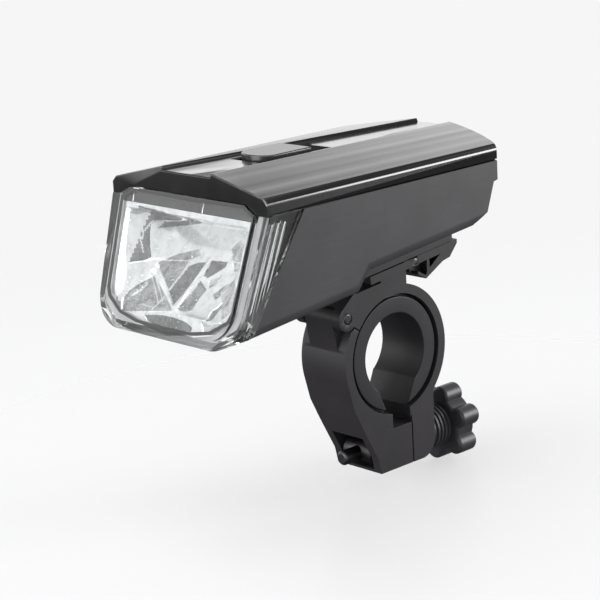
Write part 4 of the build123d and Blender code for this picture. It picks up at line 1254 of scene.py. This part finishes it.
@dataclass
class Studio:
    """Pale floor, soft lights and the camera.

    Args:
        floor_height: Height of the floor in metres.
        eye: Camera position in metres.
        turn: Compass angle of the view in degrees.
        tilt: Angle of the view above the horizontal in degrees.
        roll: Turn of the picture in degrees.
        lens_length: Focal length in millimetres.
        sensor: Width of the picture plane in millimetres.
        sky: Strength of the surround in reflections.
        grade: Its level at several heights, from straight below at 0 to straight above at 1.
        backdrop: Level of the backdrop that the camera sees.
        ambient: Strength of the even light on matt surfaces.
        floor_reach: Radius of the floor in metres.
        fade: Distances from the middle between which the floor goes clear, in metres.
        floor_share: How much of the floor shows in the middle.
    """

    floor_height: float
    eye: Point = (0.351043, -0.346523, 0.143191)
    turn: float = 47.60
    tilt: float = 14.60
    roll: float = -3.4211
    lens_length: float = 114.114
    sensor: float = 36.0
    backdrop: float = 0.921
    ambient: float = 0.62
    floor_reach: float = 0.55
    fade: Spot = (0.10, 0.42)
    floor_share: float = 0.34
    sky: float = 1.75
    grade: tuple[Spot, ...] = (
        (0.0, 0.02), (1.0, 0.8), (0.37, 0.03), (0.42, 0.14), (0.48, 0.6), (0.6, 0.98), (0.75, 0.5),
        (0.82, 0.1), (0.865, 0.07), (0.90, 0.6),
    )

    def camera(self) -> None:
        """Add the camera at the photograph's view."""
        turn, tilt, roll = (math.radians(part) for part in (self.turn, self.tilt, self.roll))
        back = Vector((math.sin(turn) * math.cos(tilt), -math.cos(turn) * math.cos(tilt), math.sin(tilt)))
        level = Vector((math.cos(turn), math.sin(turn), 0.0))
        up = back.cross(level)
        side = math.cos(roll) * level + math.sin(roll) * up
        top = -math.sin(roll) * level + math.cos(roll) * up
        data = bpy.data.cameras.new("view")
        data.lens = self.lens_length
        data.sensor_width = self.sensor
        data.clip_start, data.clip_end = 0.01, 20.0
        seen = new_object("view", data)
        frame = Matrix((side, top, back)).transposed().to_4x4()
        seen.matrix_world = Matrix.Translation(self.eye) @ frame
        bpy.context.scene.camera = seen

    def lamp(self, name: str, place: Point, aim: Point, size: Spot, power: float) -> None:
        """Add one soft rectangular light.

        Args:
            name: Name of the light.
            place: Its middle in metres.
            aim: The point that it faces.
            size: Width and height in metres.
            power: Its power in watts.
        """
        data = bpy.data.lights.new(name, "AREA")
        data.shape = "RECTANGLE"
        data.size, data.size_y = size
        data.energy = power
        made = new_object(name, data)
        made.location = place
        made.rotation_euler = (Vector(aim) - Vector(place)).to_track_quat("-Z", "Y").to_euler()

    def floor(self) -> None:
        """Add the pale floor, which fades into the backdrop round the lamp."""
        count = 96
        turns = [math.tau * step / count for step in range(count)]
        reach, height = self.floor_reach, self.floor_height
        ring = [(reach * math.cos(turn), reach * math.sin(turn), height) for turn in turns]
        piece = mesh_from("floor", ring, [range(count)])
        made = bpy.data.materials.new("studio_floor")
        tree = ShaderTree(made)
        far = tree.node("ShaderNodeVectorMath", {"operation": "LENGTH"}, {0: tree.place()}, result="Value")
        fade = tree.node(
            "ShaderNodeMapRange", {"interpolation_type": "SMOOTHSTEP"},
            {
                "Value": far, "From Min": self.fade[0], "From Max": self.fade[1],
                "To Min": self.floor_share, "To Max": 0.0,
            },
        )
        tree.surface({
            "Base Color": (0.67, 0.67, 0.68, 1.0),
            "Roughness": 0.32 + tree.noise(0.05, 2.0) * 0.05,
            "Specular IOR Level": 0.3,
            "Alpha": fade * (1.0 - tree.ray("Glossy") * 0.8),
        })
        piece.data.materials.append(made)
        piece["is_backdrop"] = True

    def world(self) -> None:
        """Even backdrop for the camera, and a surround for reflections that is brighter above."""
        world = bpy.data.worlds.new("studio")
        bpy.context.scene.world = world
        tree = ShaderTree(world)
        spot = tree.node("ShaderNodeTexCoord", result="Generated")
        height = tree.node("ShaderNodeSeparateXYZ", {}, {0: spot}, result="Z")
        backdrop, ambient, reflected = (
            tree.node("ShaderNodeBackground", {}, {"Color": colour, "Strength": strength})
            for colour, strength in (
                ((*[self.backdrop] * 3, 1.0), 1.0), ((0.96, 0.97, 1.0, 1.0), self.ambient),
                (tree.ramp(height * 0.5 + 0.5, self.grade), self.sky),
            )
        )
        seen = tree.node(
            "ShaderNodeMath", {"operation": "MAXIMUM"}, {0: tree.ray("Camera"), 1: tree.ray("Transmission")}
        )
        surround = tree.node("ShaderNodeMixShader", {}, {0: tree.ray("Glossy"), 1: ambient, 2: reflected})
        shown = tree.node("ShaderNodeMixShader", {}, {0: seen, 1: surround, 2: backdrop})
        tree.node("ShaderNodeOutputWorld", {}, {"Surface": shown}, result=None)

    def build(self) -> None:
        """Set up the whole studio."""
        bpy.context.scene.view_settings.view_transform = "Standard"
        self.camera()
        self.floor()
        self.world()
        for name, place, aim, size, power in (
            ("overhead", (-0.05, -0.28, 0.75), (0.0, -0.02, 0.02), (0.7, 0.5), 4.4),
            ("front_fill", (-0.15, -0.80, 0.22), (0.0, -0.03, 0.02), (0.5, 0.4), 5.5),
            ("side_fill", (0.38, 0.48, 0.16), (0.0, 0.02, 0.02), (0.3, 0.3), 3.3),
        ):
            self.lamp(name, place, aim, size, power)


def main() -> None:
    """Build every sub-assembly and the studio."""
    logging.basicConfig(level=logging.INFO, format="%(name)s: %(message)s")
    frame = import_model()
    solid_box = [list(corner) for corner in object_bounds()]
    record = frame["record"]
    body_of = {node: body for body, nodes in record["behaviour"]["bodies"].items() for node in nodes}
    slot_of = {part["node"]: part["material_slot"] for part in record["subparts"]}
    shop = Workshop(frame["nodes"], Palette().build(), body_of, slot_of)
    Lamp(shop).build()
    Optics(shop).build()
    Clamp(shop).build()
    shop.recolour()
    Studio(floor_height=solid_box[0][2] - FLOOR_GAP).build()


if __name__ == "__main__":
    main()
